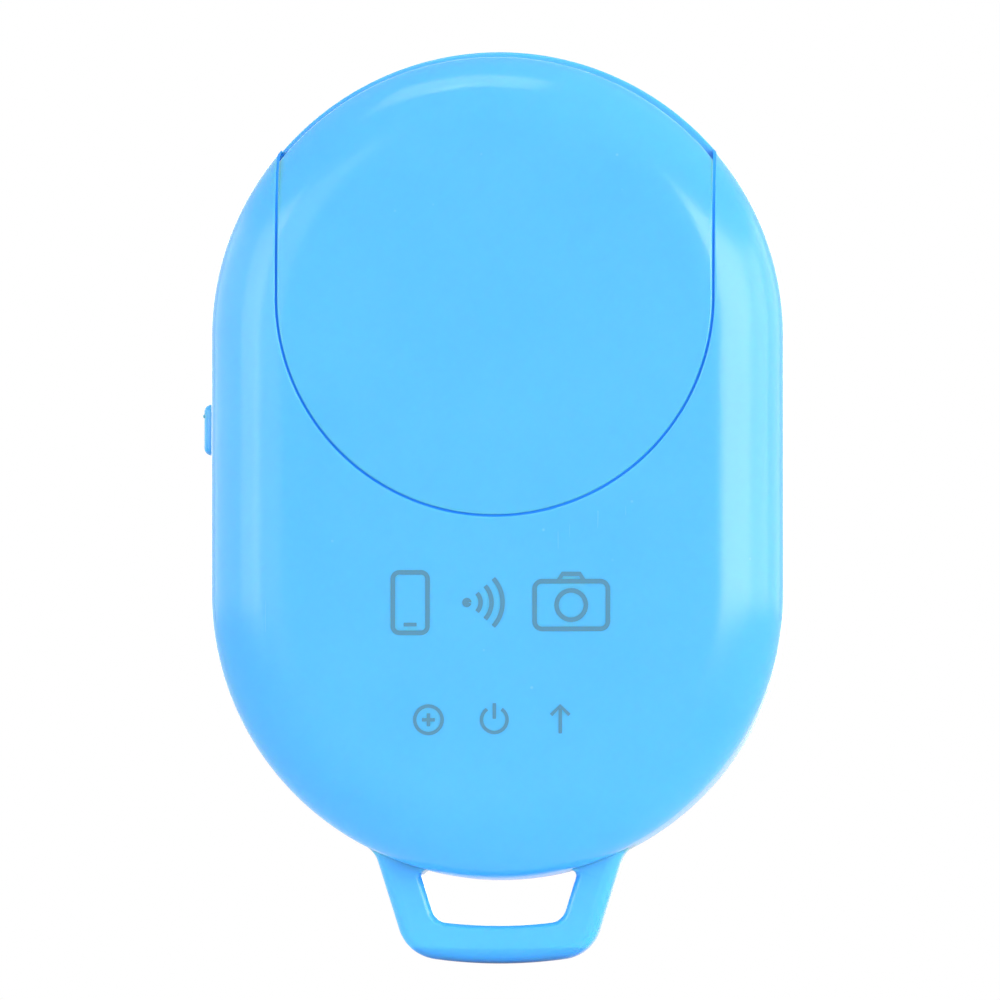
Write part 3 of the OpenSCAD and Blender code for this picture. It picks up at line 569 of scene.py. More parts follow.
def strokes(lines, width):
    """Open printed lines of one width."""
    for line in lines:
        add_stroke(ink, line, width)


def outlines(lines, width):
    """Closed printed lines of one width."""
    for line in lines:
        add_stroke(ink, line, width, closed=True)


def beside(x, z, *points):
    """Points given from a symbol's middle."""
    return [(x + px, z + pz) for px, pz in points]


outlines((rounded_frame(PHONE_X, ROW_Z, 1.9, 3.3, 0.35), rounded_frame(CAMERA_X, CAMERA_Z, 4.0, 2.6, 0.4),
          circle(CAMERA_X, CAMERA_Z, 0.8)), LINE)
strokes([arc(WAVES_X, ROW_Z, radius, -42, 42) for radius in (0.75, 1.35, 1.95)], LINE)
strokes((circle(WAVES_X, ROW_Z, 0.13),
         beside(CAMERA_X, ROW_Z, (-0.7, 1.15), (-0.48, 1.55), (0.48, 1.55), (0.7, 1.15))), LINE)
strokes([beside(PHONE_X, ROW_Z, (-0.35, -1.2), (0.35, -1.2))], LINE * 0.8)
outlines([circle(CELL_X, SMALL_ROW_Z, 0.75)], SMALL_LINE)
strokes((beside(CELL_X, SMALL_ROW_Z, (-0.35, 0.0), (0.35, 0.0)),
         beside(CELL_X, SMALL_ROW_Z, (0.0, SMALL_LINE / 2), (0.0, 0.35)),
         beside(CELL_X, SMALL_ROW_Z, (0.0, -SMALL_LINE / 2), (0.0, -0.35)),
         arc(SWITCH_X, SMALL_ROW_Z, 0.7, 125, 415),
         beside(SWITCH_X, SMALL_ROW_Z, (0.0, 0.05), (0.0, 0.9)),
         beside(ARROW_X, SMALL_ROW_Z, (0.0, -0.75), (0.0, 0.62)),
         beside(ARROW_X, SMALL_ROW_Z, (-0.5, 0.25), (0.0, 0.75), (0.5, 0.25))), SMALL_LINE)
symbols = finish_mesh("printed_symbols", ink)
for face in symbols.data.polygons:
    face.material_index = INK_SLOT
print("ink faces", len(symbols.data.polygons))
join(rear_shell, [symbols])

# %% [markdown]
# ## The front shell
#
# The front shell is a dish whose rim stands round a recessed field with the two buttons.
# Its rings run from the seam over the rounded front edge and the crest of the rim into the
# field. The holes are cut with tools whose mouths flare, which leaves the fine rounded edge
# that a mould gives, and the switch's window with a plain box.

# %% Make the front shell
FRONT = -5.0
FIELD = -4.3
FIELD_R = 12.2
CREST = 0.5
FRONT_EDGE = 2.4
INNER_R = 14.4
INNER_EDGE_R = 1.1
FINE_EDGE = 0.15
FRONT_WALL_IN = -3.2
RING_COUNT = 240


def front_profile():
    """Ring and level, from the spine of the field over the rim to the seam and back inside."""
    rows = [(ring, FIELD) for ring in (2.0, 5.0, 8.0, 10.5, FIELD_R - 0.4)]
    rows += arc(FIELD_R - FINE_EDGE, FIELD - FINE_EDGE, FINE_EDGE, 90, 0, 4)
    rows += arc(FIELD_R + CREST, FRONT + CREST, CREST, 180, 270, 8)
    for a in quarter(16):
        rows.append((BODY_R - FRONT_EDGE + FRONT_EDGE * math.sin(a) ** (2 / SOFTNESS),
                     FRONT + FRONT_EDGE - FRONT_EDGE * math.cos(a) ** (2 / SOFTNESS)))
    rows += [(BODY_R, -1.5), (BODY_R, 0.0), *arc(BODY_R - FINE_EDGE, SEAM - FINE_EDGE, FINE_EDGE, 0, 90, 3),
             (INNER_R + 0.05, SEAM), (INNER_R, SEAM - 0.05)]
    rows += arc(INNER_R - INNER_EDGE_R, FRONT_WALL_IN + INNER_EDGE_R, INNER_EDGE_R, 0, -90, 6)
    rows += [(ring, FRONT_WALL_IN) for ring in (10.0, 5.0, 2.0)]
    return rows


builder = bmesh.new()
made = add_rows(builder, [[place(x, out, z) for x, z in full_ring(ring, RING_COUNT)]
                          for ring, out in front_profile()], closed=True)
for row in (made[0], made[-1]):
    builder.faces.new(row)
front_shell = finish_mesh("front_shell_moulding", builder)
print("front skin faces", len(front_shell.data.polygons))

# %% [markdown]
# ## The lanyard loop
#
# The loop is a bar swept along a line: a bowed foot, two tight corners, two leaning sides
# and a flare on either side where it grows out of the case. The section is rounded all
# round, and its outer reach widens in the flare, so one sweep makes the whole loop.

# %% The line of the loop
BAR = 2.05
BAR_T = 2.9
HALF_W = 4.91
LEAN = math.radians(17.4)
CORNER_R = 2.35
BOW_R = 26.5
FLARE_R = 1.5
FILLET_R = 0.95
ROOT_FILLET = 0.3
LOOP_TOP = SEAM - 0.15
OUTER_EDGE, INNER_EDGE = 0.75, 0.36

tan_l, cos_l, sin_l = math.tan(LEAN), math.cos(LEAN), math.sin(LEAN)


def tangent_centre(offset, centre_z, reach):
    """A point on the line beside the loop's side that lies at a reach from (0, centre_z)."""
    b = centre_z - offset * tan_l
    c = offset ** 2 + centre_z ** 2 - reach ** 2
    z = (b - math.sqrt(b ** 2 - c / cos_l ** 2)) * cos_l ** 2
    return offset + z * tan_l, z


corner_x, corner_z = tangent_centre(HALF_W - CORNER_R / cos_l, BOW_R, BOW_R - CORNER_R)
flare_x, flare_z = tangent_centre(HALF_W + FLARE_R / cos_l, LOW_Z, BODY_R + FLARE_R)
root_x, root_z = tangent_centre(HALF_W - BAR / cos_l, LOW_Z, BODY_R)
bow_angle = math.asin(corner_x / (BOW_R - CORNER_R))
flare_turn = math.atan2(LOW_Z - flare_z, flare_x) - LEAN
corner_turn = math.pi / 2 - LEAN - bow_angle
spare = FILLET_R - (CORNER_R - BAR)
fillet_run = spare * math.tan(corner_turn / 2)
fillet_shift = spare / math.cos(corner_turn / 2)
root_angle = math.pi / 2 - LEAN - math.asin(root_x / BODY_R)
root_run = ROOT_FILLET / math.tan(root_angle / 2)
print("hole", round(2 * root_x, 2), "mm wide at the case, corners", round(math.degrees(root_angle)))


def arc_reach(radius, run):
    """How far a fillet reaches out of a straight edge, at a run past the point where it starts."""
    run = min(max(run, 0.0), radius)
    return radius - math.sqrt(radius ** 2 - run ** 2)


def corner_reach(turn):
    """The same inside the corner, at a turn from its middle."""
    return (CORNER_R - BAR + fillet_shift * math.cos(turn)
            - math.sqrt(FILLET_R ** 2 - (fillet_shift * math.sin(turn)) ** 2))


# %% Sweep the loop
def loop_path():
    """Rings up the right half of the loop: x, z, turn, outer reach, inner reach."""
    half = BAR / 2
    rings = []
    bow_r = BOW_R - half
    last = fillet_run / (BOW_R - BAR)
    turns = [(bow_angle - last) * i / 12 for i in range(12)]
    for a in turns + [bow_angle - last * (1 - i / 5) for i in range(6)]:
        reach = half + arc_reach(FILLET_R, fillet_run - (bow_angle - a) * (BOW_R - BAR))
        rings.append((bow_r * math.sin(a), BOW_R - bow_r * math.cos(a), a, half, reach))
    for i in range(1, 17):
        turn = corner_turn * i / 16
        a, r = bow_angle + turn, CORNER_R - half
        rings.append((corner_x + r * math.sin(a), corner_z - r * math.cos(a), a, half,
                      half + corner_reach(turn - corner_turn / 2)))
    side_x, side_z = rings[-1][:2]
    run = (flare_x - side_x) * sin_l + (flare_z - side_z) * cos_l
    root = (root_x - side_x) * sin_l + (root_z - side_z) * cos_l
    steps = [(fillet_run * k / 5, half) for k in range(1, 6)]
    steps += [(fillet_run + (run - fillet_run) * k / 4, half) for k in range(1, 4)]
    steps += [(run + FLARE_R * math.sin(t), half + FLARE_R * (1 - math.cos(t)))
              for t in [flare_turn * k / 14 for k in range(15)]]
    end_run, end_reach = steps[-1]
    bends = [root - root_run + ROOT_FILLET * math.sin(a) for a in quarter(6)]
    bends.append(bends[-1] + 0.2 * ROOT_FILLET)
    steps += [(s, None) for s in bends]
    steps.append((end_run + 0.9, end_reach))
    steps.sort(key=lambda step: step[0])
    for s, outer in steps:
        if outer is None:
            turn = math.asin(min(max((s - run) / FLARE_R, 0.0), math.sin(flare_turn)))
            outer = half + FLARE_R * (1 - math.cos(turn))
        inner = half + arc_reach(FILLET_R, fillet_run - s) + arc_reach(ROOT_FILLET, s - (root - root_run))
        if s >= bends[-1]:
            inner += ROOT_FILLET
        rings.append((side_x + s * sin_l, side_z + s * cos_l, math.pi / 2 - LEAN, outer, inner))
    return rings


def loop_section(ring, steps=6):
    """The bar's section on a ring: wide roundings towards the outside, tight ones in the hole."""
    x, z, turn, outer, inner = ring
    points = []
    for q in range(4):
        edge = OUTER_EDGE if q in (0, 3) else INNER_EDGE
        side = outer - edge if q in (0, 3) else edge - inner
        level = LOOP_TOP - edge if q < 2 else LOOP_TOP - BAR_T + edge
        for i in range(steps + 1):
            a = math.pi / 2 * (q + i / steps)
            u = side + edge * math.cos(a)
            points.append(place(x + u * math.sin(turn), level + edge * math.sin(a), z - u * math.cos(turn)))
    return points


right = loop_path()
path = [(-x, z, -turn, outer, inner) for x, z, turn, outer, inner in reversed(right[1:])] + right
builder = bmesh.new()
made = add_rows(builder, [loop_section(ring) for ring in path], closed=True)
for row in (made[0], made[-1]):
    builder.faces.new(row)
loop = finish_mesh("lanyard_loop", builder)
print("loop rings", len(path))

# %% Cut the front shell's holes
LARGE_Z, SMALL_Z, LIGHT_Z = HIGH_Z - 0.7, LOW_Z - 5.1, LOW_Z + 2.4
LARGE_R, SMALL_R, LIGHT_R = 8.6, 5.2, 0.8
BUTTON_GAP = 0.15
KNOB_Z, KNOB_OUT = 29.35, -1.5
KNOB_L, KNOB_H, KNOB_RUN = 2.8, 1.7, 1.1
WINDOW_H = 1.9


def hole_profile(radius, rim):
    """A cutter for a hole in the field, with a flared mouth."""
    return [(radius + rim, FRONT - 1.0), *arc(radius + rim, FIELD + rim, rim, 270, 180, 4), (radius, 0.0)]


window_low, window_high = KNOB_Z - KNOB_RUN - KNOB_L / 2 - 0.1, KNOB_Z + KNOB_L / 2 + 0.1
cutters = [tool("hole", add_revolve, hole_profile(r, rim), z, BORE_COUNT)
           for r, rim, z in ((LARGE_R + BUTTON_GAP, 0.12, LARGE_Z), (SMALL_R + BUTTON_GAP, 0.12, SMALL_Z),
                             (LIGHT_R + 0.05, 0.1, LIGHT_Z))]
cutters.append(tool("window", add_box, (-20.0, KNOB_OUT - WINDOW_H / 2, window_low),
                    (-10.0, KNOB_OUT + WINDOW_H / 2, window_high)))
cut(front_shell, cutters)
join(front_shell, [loop])
print("front shell faces", len(front_shell.data.polygons))

# %% [markdown]
# ## Buttons, knob and lens
#
# The two round buttons are dished so that a finger finds them. The knob is a small rounded
# slab. The lens is a clear pin whose head stands just out of the field.

# %% Make the buttons
DISH, BUTTON_EDGE = 0.35, 0.4
BUTTON_TOP, BUTTON_FOOT, STEM_END = FRONT + 0.25, -2.7, -2.3
FLANGE, STEM_R = 0.8, 0.85


def button(name, radius, z):
    """A cap with a dish on top, a rounded edge, a flange that keeps it in the shell, and a stem."""
    dish_edge = radius - 2 * BUTTON_EDGE
    dish_r = (dish_edge ** 2 + DISH ** 2) / (2 * DISH)
    profile = []
    for k in range(15):
        r = dish_edge * k / 14
        profile.append((r, BUTTON_TOP + DISH - dish_r + math.sqrt(dish_r ** 2 - r ** 2)))
    profile.append((radius - 1.6 * BUTTON_EDGE, BUTTON_TOP + 0.012))
    profile += arc(radius - BUTTON_EDGE, BUTTON_TOP + BUTTON_EDGE, BUTTON_EDGE, -90, 0, 8)
    profile += [(radius, -3.2), (radius + FLANGE, -3.15), (radius + FLANGE, BUTTON_FOOT),
                (STEM_R, BUTTON_FOOT), (STEM_R, STEM_END), (0.0, STEM_END)]
    builder = bmesh.new()
    add_revolve(builder, profile, z, 144)
    return finish_mesh(name, builder)


large_button = button("large_button_cap", LARGE_R, LARGE_Z)
small_button = button("small_button_cap", SMALL_R, SMALL_Z)

# %% Make the knob and the lens
KNOB_OUTER = BODY_R + 0.65
RIB = 0.06
knob_end, half_h = KNOB_Z + KNOB_L / 2, KNOB_H / 2
builder = bmesh.new()
add_box(builder, (-KNOB_OUTER + RIB, KNOB_OUT - half_h, KNOB_Z - KNOB_L / 2),
        (-13.9, KNOB_OUT + half_h, knob_end), bevel=0.4, steps=6)
add_box(builder, (-KNOB_OUTER, KNOB_OUT - half_h + 0.3, knob_end - 0.75),
        (-BODY_R, KNOB_OUT + half_h - 0.3, knob_end - 0.55), bevel=0.05, steps=2)
add_box(builder, (-14.35, KNOB_OUT - 1.2, KNOB_Z - 2.6), (-13.8, KNOB_OUT + 1.2, KNOB_Z + 2.6),
        bevel=0.1, steps=2)
knob = finish_mesh("power_switch_slider", builder)

LENS_TOP, LENS_EDGE, LENS_FLANGE, LENS_END = FIELD - 0.05, 0.12, 1.2, -1.6
lens_profile = [(LIGHT_R * math.sin(a), LENS_TOP + LENS_EDGE - LENS_EDGE * math.cos(a)) for a in quarter(8)]
lens_profile += [(LIGHT_R, -3.2), (LENS_FLANGE, -3.2), (LENS_FLANGE, -2.8), (LIGHT_R, -2.8),
                 (LIGHT_R, LENS_END), (0.0, LENS_END)]
builder = bmesh.new()
add_revolve(builder, lens_profile, LIGHT_Z, 48)
lens = finish_mesh("status_light_pin", builder)

# %% [markdown]
# ## Finishes
#
# The shells are glossy ABS in one sky blue. Up close such plastic isn't one flat colour: it
# clouds very slightly, carries pin-prick specks and hairline scratches from handling, and
# its skin ripples by a hair from the mould. One shader group makes those effects for every
# moulded piece.

# %% Nodes by short names
class Net:
    """A node tree, with short names for the nodes that the finishes are made of."""

    def __init__(self, tree):
        self.tree = tree

    def fill(self, socket, value):
        """Gives an input a value, or a link where the value is an output of another node."""
        if isinstance(value, bpy.types.NodeSocket):
            self.tree.links.new(value, socket)
        else:
            socket.default_value = value

    def node(self, kind, inputs=None, **settings):
        """Adds a node, sets its properties and fills its inputs."""
        made = self.tree.nodes.new(kind)
        for key, value in settings.items():
            setattr(made, key, value)
        for key, value in (inputs or {}).items():
            self.fill(made.inputs[key], value)
        return made

    def math(self, operation, a, b=0.0):
        return self.node("ShaderNodeMath", {0: a, 1: b}, operation=operation).outputs[0]

    def add(self, a, b):
        return self.math("ADD", a, b)

    def less(self, a, b):
        return self.math("SUBTRACT", a, b)

    def times(self, a, b):
        return self.math("MULTIPLY", a, b)

    def ramp(self, value, low, high):
        """A mask that runs from 0 at low to 1 at high."""
        inputs = {"Value": value, "From Min": low, "From Max": high}
        return self.node("ShaderNodeMapRange", inputs, clamp=True).outputs["Result"]

    def mix(self, factor, a, b):
        """A colour between two others."""
        return self.node("ShaderNodeMix", {0: factor, 6: a, 7: b}, data_type="RGBA").outputs[2]

    def where(self):
        """The point on the object, in metres."""
        return self.node("ShaderNodeTexCoord").outputs["Object"]

    def parts(self, kind, value):
        """The separate channels of a point or a colour."""
        return self.node(kind, {0: value}).outputs

    def noise(self, where, scale, detail, roughness=0.5):
        inputs = {"Vector": where, "Scale": scale, "Detail": detail, "Roughness": roughness}
        return self.node("ShaderNodeTexNoise", inputs).outputs["Fac"]

    def cells(self, where, scale, randomness=1.0, **settings):
        inputs = {"Vector": where, "Scale": scale, "Randomness": randomness}
        return self.node("ShaderNodeTexVoronoi", inputs, **settings).outputs


def srgb(code):
    """A colour as it is written, turned into the linear values that a shader takes."""
    channels = [int(code[i:i + 2], 16) / 255 for i in (1, 3, 5)]
    linear = [c / 12.92 if c <= 0.04045 else ((c + 0.055) / 1.055) ** 2.4 for c in channels]
    return (*linear, 1.0)


# %% Shader groups
def group(name, inputs):
    """A shader group with these inputs and their defaults: its net and the inputs to use."""
    tree = bpy.data.node_groups.new(name, "ShaderNodeTree")
    for label, default in inputs.items():
        kind = "NodeSocketFloat"
        if isinstance(default, tuple):
            kind = "NodeSocketColor" if len(default) == 4 else "NodeSocketVector"
        socket = tree.interface.new_socket(label, in_out="INPUT", socket_type=kind)
        socket.default_value = default
    return Net(tree), tree.nodes.new("NodeGroupInput").outputs


def close_group(net, colour, roughness, height):
    """Ends a group, which gives a colour, a roughness and a height."""
    results = (("Colour", "NodeSocketColor", colour), ("Roughness", "NodeSocketFloat", roughness),
               ("Height", "NodeSocketFloat", height))
    for label, kind, _ in results:
        net.tree.interface.new_socket(label, in_out="OUTPUT", socket_type=kind)
    output = net.tree.nodes.new("NodeGroupOutput")
    for label, _, value in results:
        net.fill(output.inputs[label], value)
    return net.tree


# %% Shader group: moulded skin
SPECK_SHOW, SCRATCH_ROUGH, CLOUD_ROUGH = 0.35, 0.22, 0.05
GRAIN_HEIGHT, SCRATCH_DEPTH = 0.05, 0.15

net, given = group("Moulded skin", {
    "Colour": srgb("#54bbff"), "Cloud": srgb("#4eb5fd"), "Clouding": 0.5, "Scratches": 0.4,
    "Roughness": 0.16, "Ripple": 0.5})
where = net.where()
clouds = net.noise(where, 140.0, 3.0, 0.55)
rare = net.noise(where, 230.0, 0.0)
specks = net.less(1.0, net.ramp(net.cells(where, 620.0)["Distance"], 0.03, 0.07))
specks = net.times(specks, net.ramp(rare, 0.56, 0.6))
hairs = []
for turn, squash, scale, low in ((0.6, 0.045, 3800.0, 0.7), (-1.0, 0.06, 3100.0, 0.71)):
    turned = net.node("ShaderNodeMapping", {"Vector": where, "Rotation": (0.0, turn, 0.0),
                                            "Scale": (1.0, 1.0, squash)})
    hairs.append(net.ramp(net.noise(turned.outputs["Vector"], scale, 1.0), low, low + 0.06))
scratches = net.times(net.math("MAXIMUM", *hairs), net.ramp(rare, 0.5, 0.62))
scratches = net.times(scratches, given["Scratches"])
clouded = net.times(net.ramp(clouds, 0.35, 0.7), given["Clouding"])
colour = net.mix(clouded, given["Colour"], given["Cloud"])
colour = net.mix(net.times(specks, SPECK_SHOW), colour, srgb("#8fd6ff"))
roughness = net.add(given["Roughness"], net.times(scratches, SCRATCH_ROUGH))
roughness = net.add(roughness, net.times(clouds, CLOUD_ROUGH))
height = net.times(net.noise(where, 420.0, 1.0), given["Ripple"])
height = net.add(height, net.times(net.noise(where, 5200.0, 2.0), GRAIN_HEIGHT))
height = net.less(height, net.times(scratches, SCRATCH_DEPTH))
MOULDED = close_group(net, colour, roughness, height)


# %% Materials
def material(name):
    """A new material: the material itself, its net and its Principled shader."""
    made = bpy.data.materials.new(name)
    made.use_nodes = True
    made.node_tree.nodes.clear()
    net = Net(made.node_tree)
    shader = net.node("ShaderNodeBsdfPrincipled")
    net.node("ShaderNodeOutputMaterial", {"Surface": shader.outputs["BSDF"]})
    return made, net, shader


def reopen(made):
    """The net and the shader of a material that is already made."""
    return Net(made.node_tree), made.node_tree.nodes["Principled BSDF"]


def set_shader(shader, **values):
    for key, value in values.items():
        shader.inputs[key.replace("_", " ")].default_value = value


def bump(net, shader, height, strength, distance):
    """Gives a shader relief, over the relief that it has already."""
    made = net.node("ShaderNodeBump", {"Height": height, "Strength": strength, "Distance": distance})
    normal = shader.inputs["Normal"]
    if normal.links:
        net.fill(made.inputs["Normal"], normal.links[0].from_socket)
    net.fill(normal, made.outputs["Normal"])


def paint_over(net, shader, mask, colour):
    """Lays another colour over a shader's own one where the mask is 1."""
    under = shader.inputs["Base Color"].links[0].from_socket
    net.fill(shader.inputs["Base Color"], net.mix(mask, under, colour))


def skin_material(name, source, values, depth, **plain):
    """A material whose colour, roughness and relief come from one of the groups."""
    made, net, shader = material(name)
    skin = net.node("ShaderNodeGroup", values, node_tree=source).outputs
    net.fill(shader.inputs["Base Color"], skin["Colour"])
    net.fill(shader.inputs["Roughness"], skin["Roughness"])
    bump(net, shader, skin["Height"], 0.5, depth)
    set_shader(shader, **plain)
    return made


# %% Plastic
SKIN_RELIEF = 0.00002


def moulded_plastic(name, **values):
    return skin_material(name, MOULDED, values, SKIN_RELIEF, IOR=1.5, Subsurface_Weight=0.7,
                         Subsurface_Scale=0.00045, Subsurface_Radius=(0.3, 0.9, 1.9))


shell_blue = moulded_plastic("sky_blue_plastic")
door_blue = moulded_plastic("sky_blue_door_plastic", Roughness=0.12)

# %% [markdown]
# ## The lens
#
# The lens is clear moulded plastic with faint flow marks, so it keeps a plain transmission
# weight, and only its colour, roughness and relief vary.

# %% Clear lens
clear_lens, net, shader = material("clear_lens")
flow = net.noise(net.where(), 900.0, 2.0)
net.fill(shader.inputs["Base Color"], net.mix(flow, srgb("#eef6ff"), srgb("#e2f0ff")))
net.fill(shader.inputs["Roughness"], net.add(0.05, net.times(flow, 0.08)))
bump(net, shader, flow, 0.3, SKIN_RELIEF)
set_shader(shader, Transmission_Weight=1.0, IOR=1.49)

# %% Put the outer pieces on their bodies
for piece, finish, body, stands_for in (
        (rear_shell, shell_blue, "case", "rear_shell"), (front_shell, shell_blue, "case", "front_shell"),
        (battery_door, door_blue, "battery_door_body", "battery_door"),
        (large_button, shell_blue, "large_button_body", "shutter_button_large"),
        (small_button, shell_blue, "small_button_body", "shutter_button_small"),
        (knob, shell_blue, "power_switch_body", "power_switch_knob"),
        (lens, clear_lens, "case", "status_light_lens")):
    piece.data.materials.append(finish)
    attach(piece, body)
    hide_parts(stands_for)

# %% [markdown]
# ## The walls of the seam, with painted shade
#
# The seam round the door carries painted shade: its walls take a deeper, more saturated blue
# than the skin, standing in for the shade inside the narrow seam. The walls are as the mould's edge left
# them, satin and not polished. Their faces take a second material, picked by where they are.

# %% Paint shade into the seam
PAINTED_SHADE_SLOT = 1
SEAM_IN, SEAM_OUT = DOOR_R - 0.16, OPEN_R + 0.05
SEAM_TOP, SEAM_FOOT = 0.045, 1.2
# Painted shade: the seam's walls get a deeper, more saturated blue than the skin, in place of the shade
# inside the narrow seam.
seam_painted_shade_blue = skin_material(
    "seam_painted_shade_plastic", MOULDED, {"Colour": srgb("#36a0ff"), "Cloud": srgb("#329afa"), "Roughness": 0.5},
    SKIN_RELIEF, IOR=1.5, Specular_IOR_Level=0.05)


def off_door(x, z):
    """How far a point is from the door's spine, which is its radius inside the seam."""
    return math.hypot(x, z - DOOR_Z) if z < DOOR_Z else abs(x)


for piece in (rear_shell, battery_door):
    piece.data.materials.append(seam_painted_shade_blue)
    painted_shade_faces = 0
    for face in piece.data.polygons:
        x, z, out = face.center.x * 1000, face.center.z * 1000, -face.center.y * 1000
        ring = min(spine_distance(x, z), BODY_R)
        skin = REAR - crown(ring) - fall(ring, BODY_R - EDGE_REACH, EDGE_REACH, EDGE_DROP)
        # Faces inside the seam take the material with the painted shade.
        if SEAM_IN < off_door(x, z) < SEAM_OUT and SEAM_TOP < skin - out < SEAM_FOOT:
            face.material_index = PAINTED_SHADE_SLOT
            painted_shade_faces += 1
    print("seam faces of", piece.name, painted_shade_faces)

# %% [markdown]
# ## Metal
#
# The cell, the screws, the cans and the springs are sheet metal. Rolling leaves fine lines
# along the strip, handling leaves faint stains, and plating dulls where it was touched.
# One group stretches a fine noise into lines and lays soft stains over it.

# %% Shader group: rolled metal
LINE_SHOW, LINE_ROUGH, LINE_HEIGHT = 0.35, 0.1, 0.5
STAIN_ROUGH, PIT_DEPTH = 0.2, 0.3

net, given = group("Rolled metal", {
    "Colour": srgb("#c6c8cc"), "Stain": srgb("#a9a69f"), "Stretch": (1.0, 1.0, 0.03), "Lines": 0.5,
    "Stains": 0.4, "Roughness": 0.24})
where = net.where()
along = net.node("ShaderNodeMapping", {"Vector": where, "Scale": given["Stretch"]}).outputs["Vector"]
lined = net.times(net.noise(along, 9000.0, 3.0), given["Lines"])
stained = net.times(net.ramp(net.noise(where, 330.0, 4.0), 0.48, 0.72), given["Stains"])
pits = net.less(1.0, net.ramp(net.cells(where, 1700.0)["Distance"], 0.05, 0.12))
colour = net.mix(stained, given["Colour"], given["Stain"])
colour = net.mix(net.times(lined, LINE_SHOW), colour, given["Stain"])
roughness = net.add(given["Roughness"], net.times(stained, STAIN_ROUGH))
roughness = net.add(roughness, net.times(lined, LINE_ROUGH))
height = net.less(net.times(lined, LINE_HEIGHT), net.times(pits, PIT_DEPTH))
METAL = close_group(net, colour, roughness, height)

# %% Metal materials
ALONG_X, ALL_ROUND = (0.03, 1.0, 1.0), (1.0, 1.0, 1.0)
METAL_RELIEF = 0.000004


def rolled(name, **values):
    return skin_material(name, METAL, values, METAL_RELIEF, Metallic=1.0)


nickel = rolled("nickel_plated_steel", Stains=0.25)
screw_steel = rolled("screw_steel", Stretch=ALONG_X, Lines=0.8, Roughness=0.3)
crystal_steel = rolled("crystal_can_steel", Stretch=ALONG_X, Lines=0.3, Stains=0.15, Roughness=0.2)
tinned = rolled("tinned_leads", Colour=srgb("#cfd1d2"), Stain=srgb("#b4b2ad"), Stretch=ALL_ROUND,
                Lines=0.7, Roughness=0.36)
spring_gilt = rolled("gilt_spring", Colour=srgb("#e2b768"), Stain=srgb("#c9a266"), Lines=0.6,
                     Roughness=0.26)
trace_gilt = rolled("gilt_trace", Colour=srgb("#e0b158"), Stain=srgb("#bd9048"), Stretch=ALL_ROUND,
                    Lines=0.8, Stains=0.6, Roughness=0.32)

# %% [markdown]
# ## Moulded and fired grain
#
# The chips are black epoxy with a fine matt grain, the switches' bodies are nylon, the
# capacitors are fired ceramic, and the status light is a block of pale resin. All of them
# are a base colour with flecks of another and a pebbled surface, so one group serves them.

# %% Shader group: fine grain
SHADE_SHOW, SHADE_ROUGH = 0.25, 0.14

net, given = group("Fine grain", {
    "Colour": srgb("#26282b"), "Fleck": srgb("#3a3d40"), "Flecks": 0.5, "Roughness": 0.5})
where = net.where()
pebbles = net.noise(where, 14000.0, 2.0)
shades = net.noise(where, 700.0, 3.0)
flecked = net.times(net.ramp(pebbles, 0.5, 0.66), given["Flecks"])
colour = net.mix(flecked, given["Colour"], given["Fleck"])
colour = net.mix(net.times(shades, SHADE_SHOW), colour, given["Fleck"])
roughness = net.add(given["Roughness"], net.times(shades, SHADE_ROUGH))
GRAIN = close_group(net, colour, roughness, pebbles)

GRAIN_RELIEF = 0.00001


def grained(name, **values):
    return skin_material(name, GRAIN, values, GRAIN_RELIEF, IOR=1.5)


black_nylon = grained("black_switch_nylon", Colour=srgb("#1d1e20"), Fleck=srgb("#303234"), Roughness=0.4)
white_nylon = grained("white_nylon", Colour=srgb("#e6e2d8"), Fleck=srgb("#d8d2c4"), Roughness=0.42)
gasket_nylon = grained("gasket_nylon", Colour=srgb("#8f8d88"), Fleck=srgb("#7c7a75"), Roughness=0.38)
light_resin = grained("status_light_resin", Colour=srgb("#e9e4d2"), Fleck=srgb("#e3d79e"), Flecks=0.3,
                      Roughness=0.3)

# %% [markdown]
# ## The ink
#
# Printing ink on glossy plastic is a thin grey film that lets some of the blue through, a
# little duller than the skin. Its edges and density vary, which the fine grain gives.

# %% Finish the ink
print_ink = grained("grey_ink", Colour=srgb("#4a85a0"), Fleck=srgb("#408bb6"), Flecks=0.6, Roughness=0.3)
rear_shell.data.materials.append(print_ink)

# %% [markdown]
# ## Chips
#
# A small round dimple in the epoxy marks a chip's first pin.

# %% Chips with a dimple
DIMPLE_R = 0.24
DIMPLE_DEPTH = 0.00008


def away_from(net, x, z):
    """Distances from a line through the case at x and z in millimetres: in all, across, along."""
    point = net.parts("ShaderNodeSeparateXYZ", net.where())
    across, along = net.less(point["X"], x * MM), net.less(point["Z"], z * MM)
    far = net.math("SQRT", net.add(net.times(across, across), net.times(along, along)))
    return far, across, along


def dimpled(name, x, z, **values):
    made = grained(name, **values)
    net, shader = reopen(made)
    far = away_from(net, x, z)[0]
    bump(net, shader, net.ramp(far, DIMPLE_R * 0.75 * MM, DIMPLE_R * MM), 0.8, DIMPLE_DEPTH)
    return made


radio_epoxy = dimpled("radio_chip_epoxy", -4.05, 19.25)
memory_epoxy = dimpled("memory_chip_epoxy", 3.6, 19.65, Roughness=0.56)

# %% [markdown]
# ## Small chips on the board
#
# A chip capacitor is a tan ceramic block with tinned ends, and a chip resistor a black one
# with white ceramic under its film. The ends need no shape of their own, because on the
# real part they are a skin of tin: a mask on the height within the row tells tin from body.

# %% Chip capacitors and resistors
CHIP_END, CHIP_BLEND = 0.27, 0.01


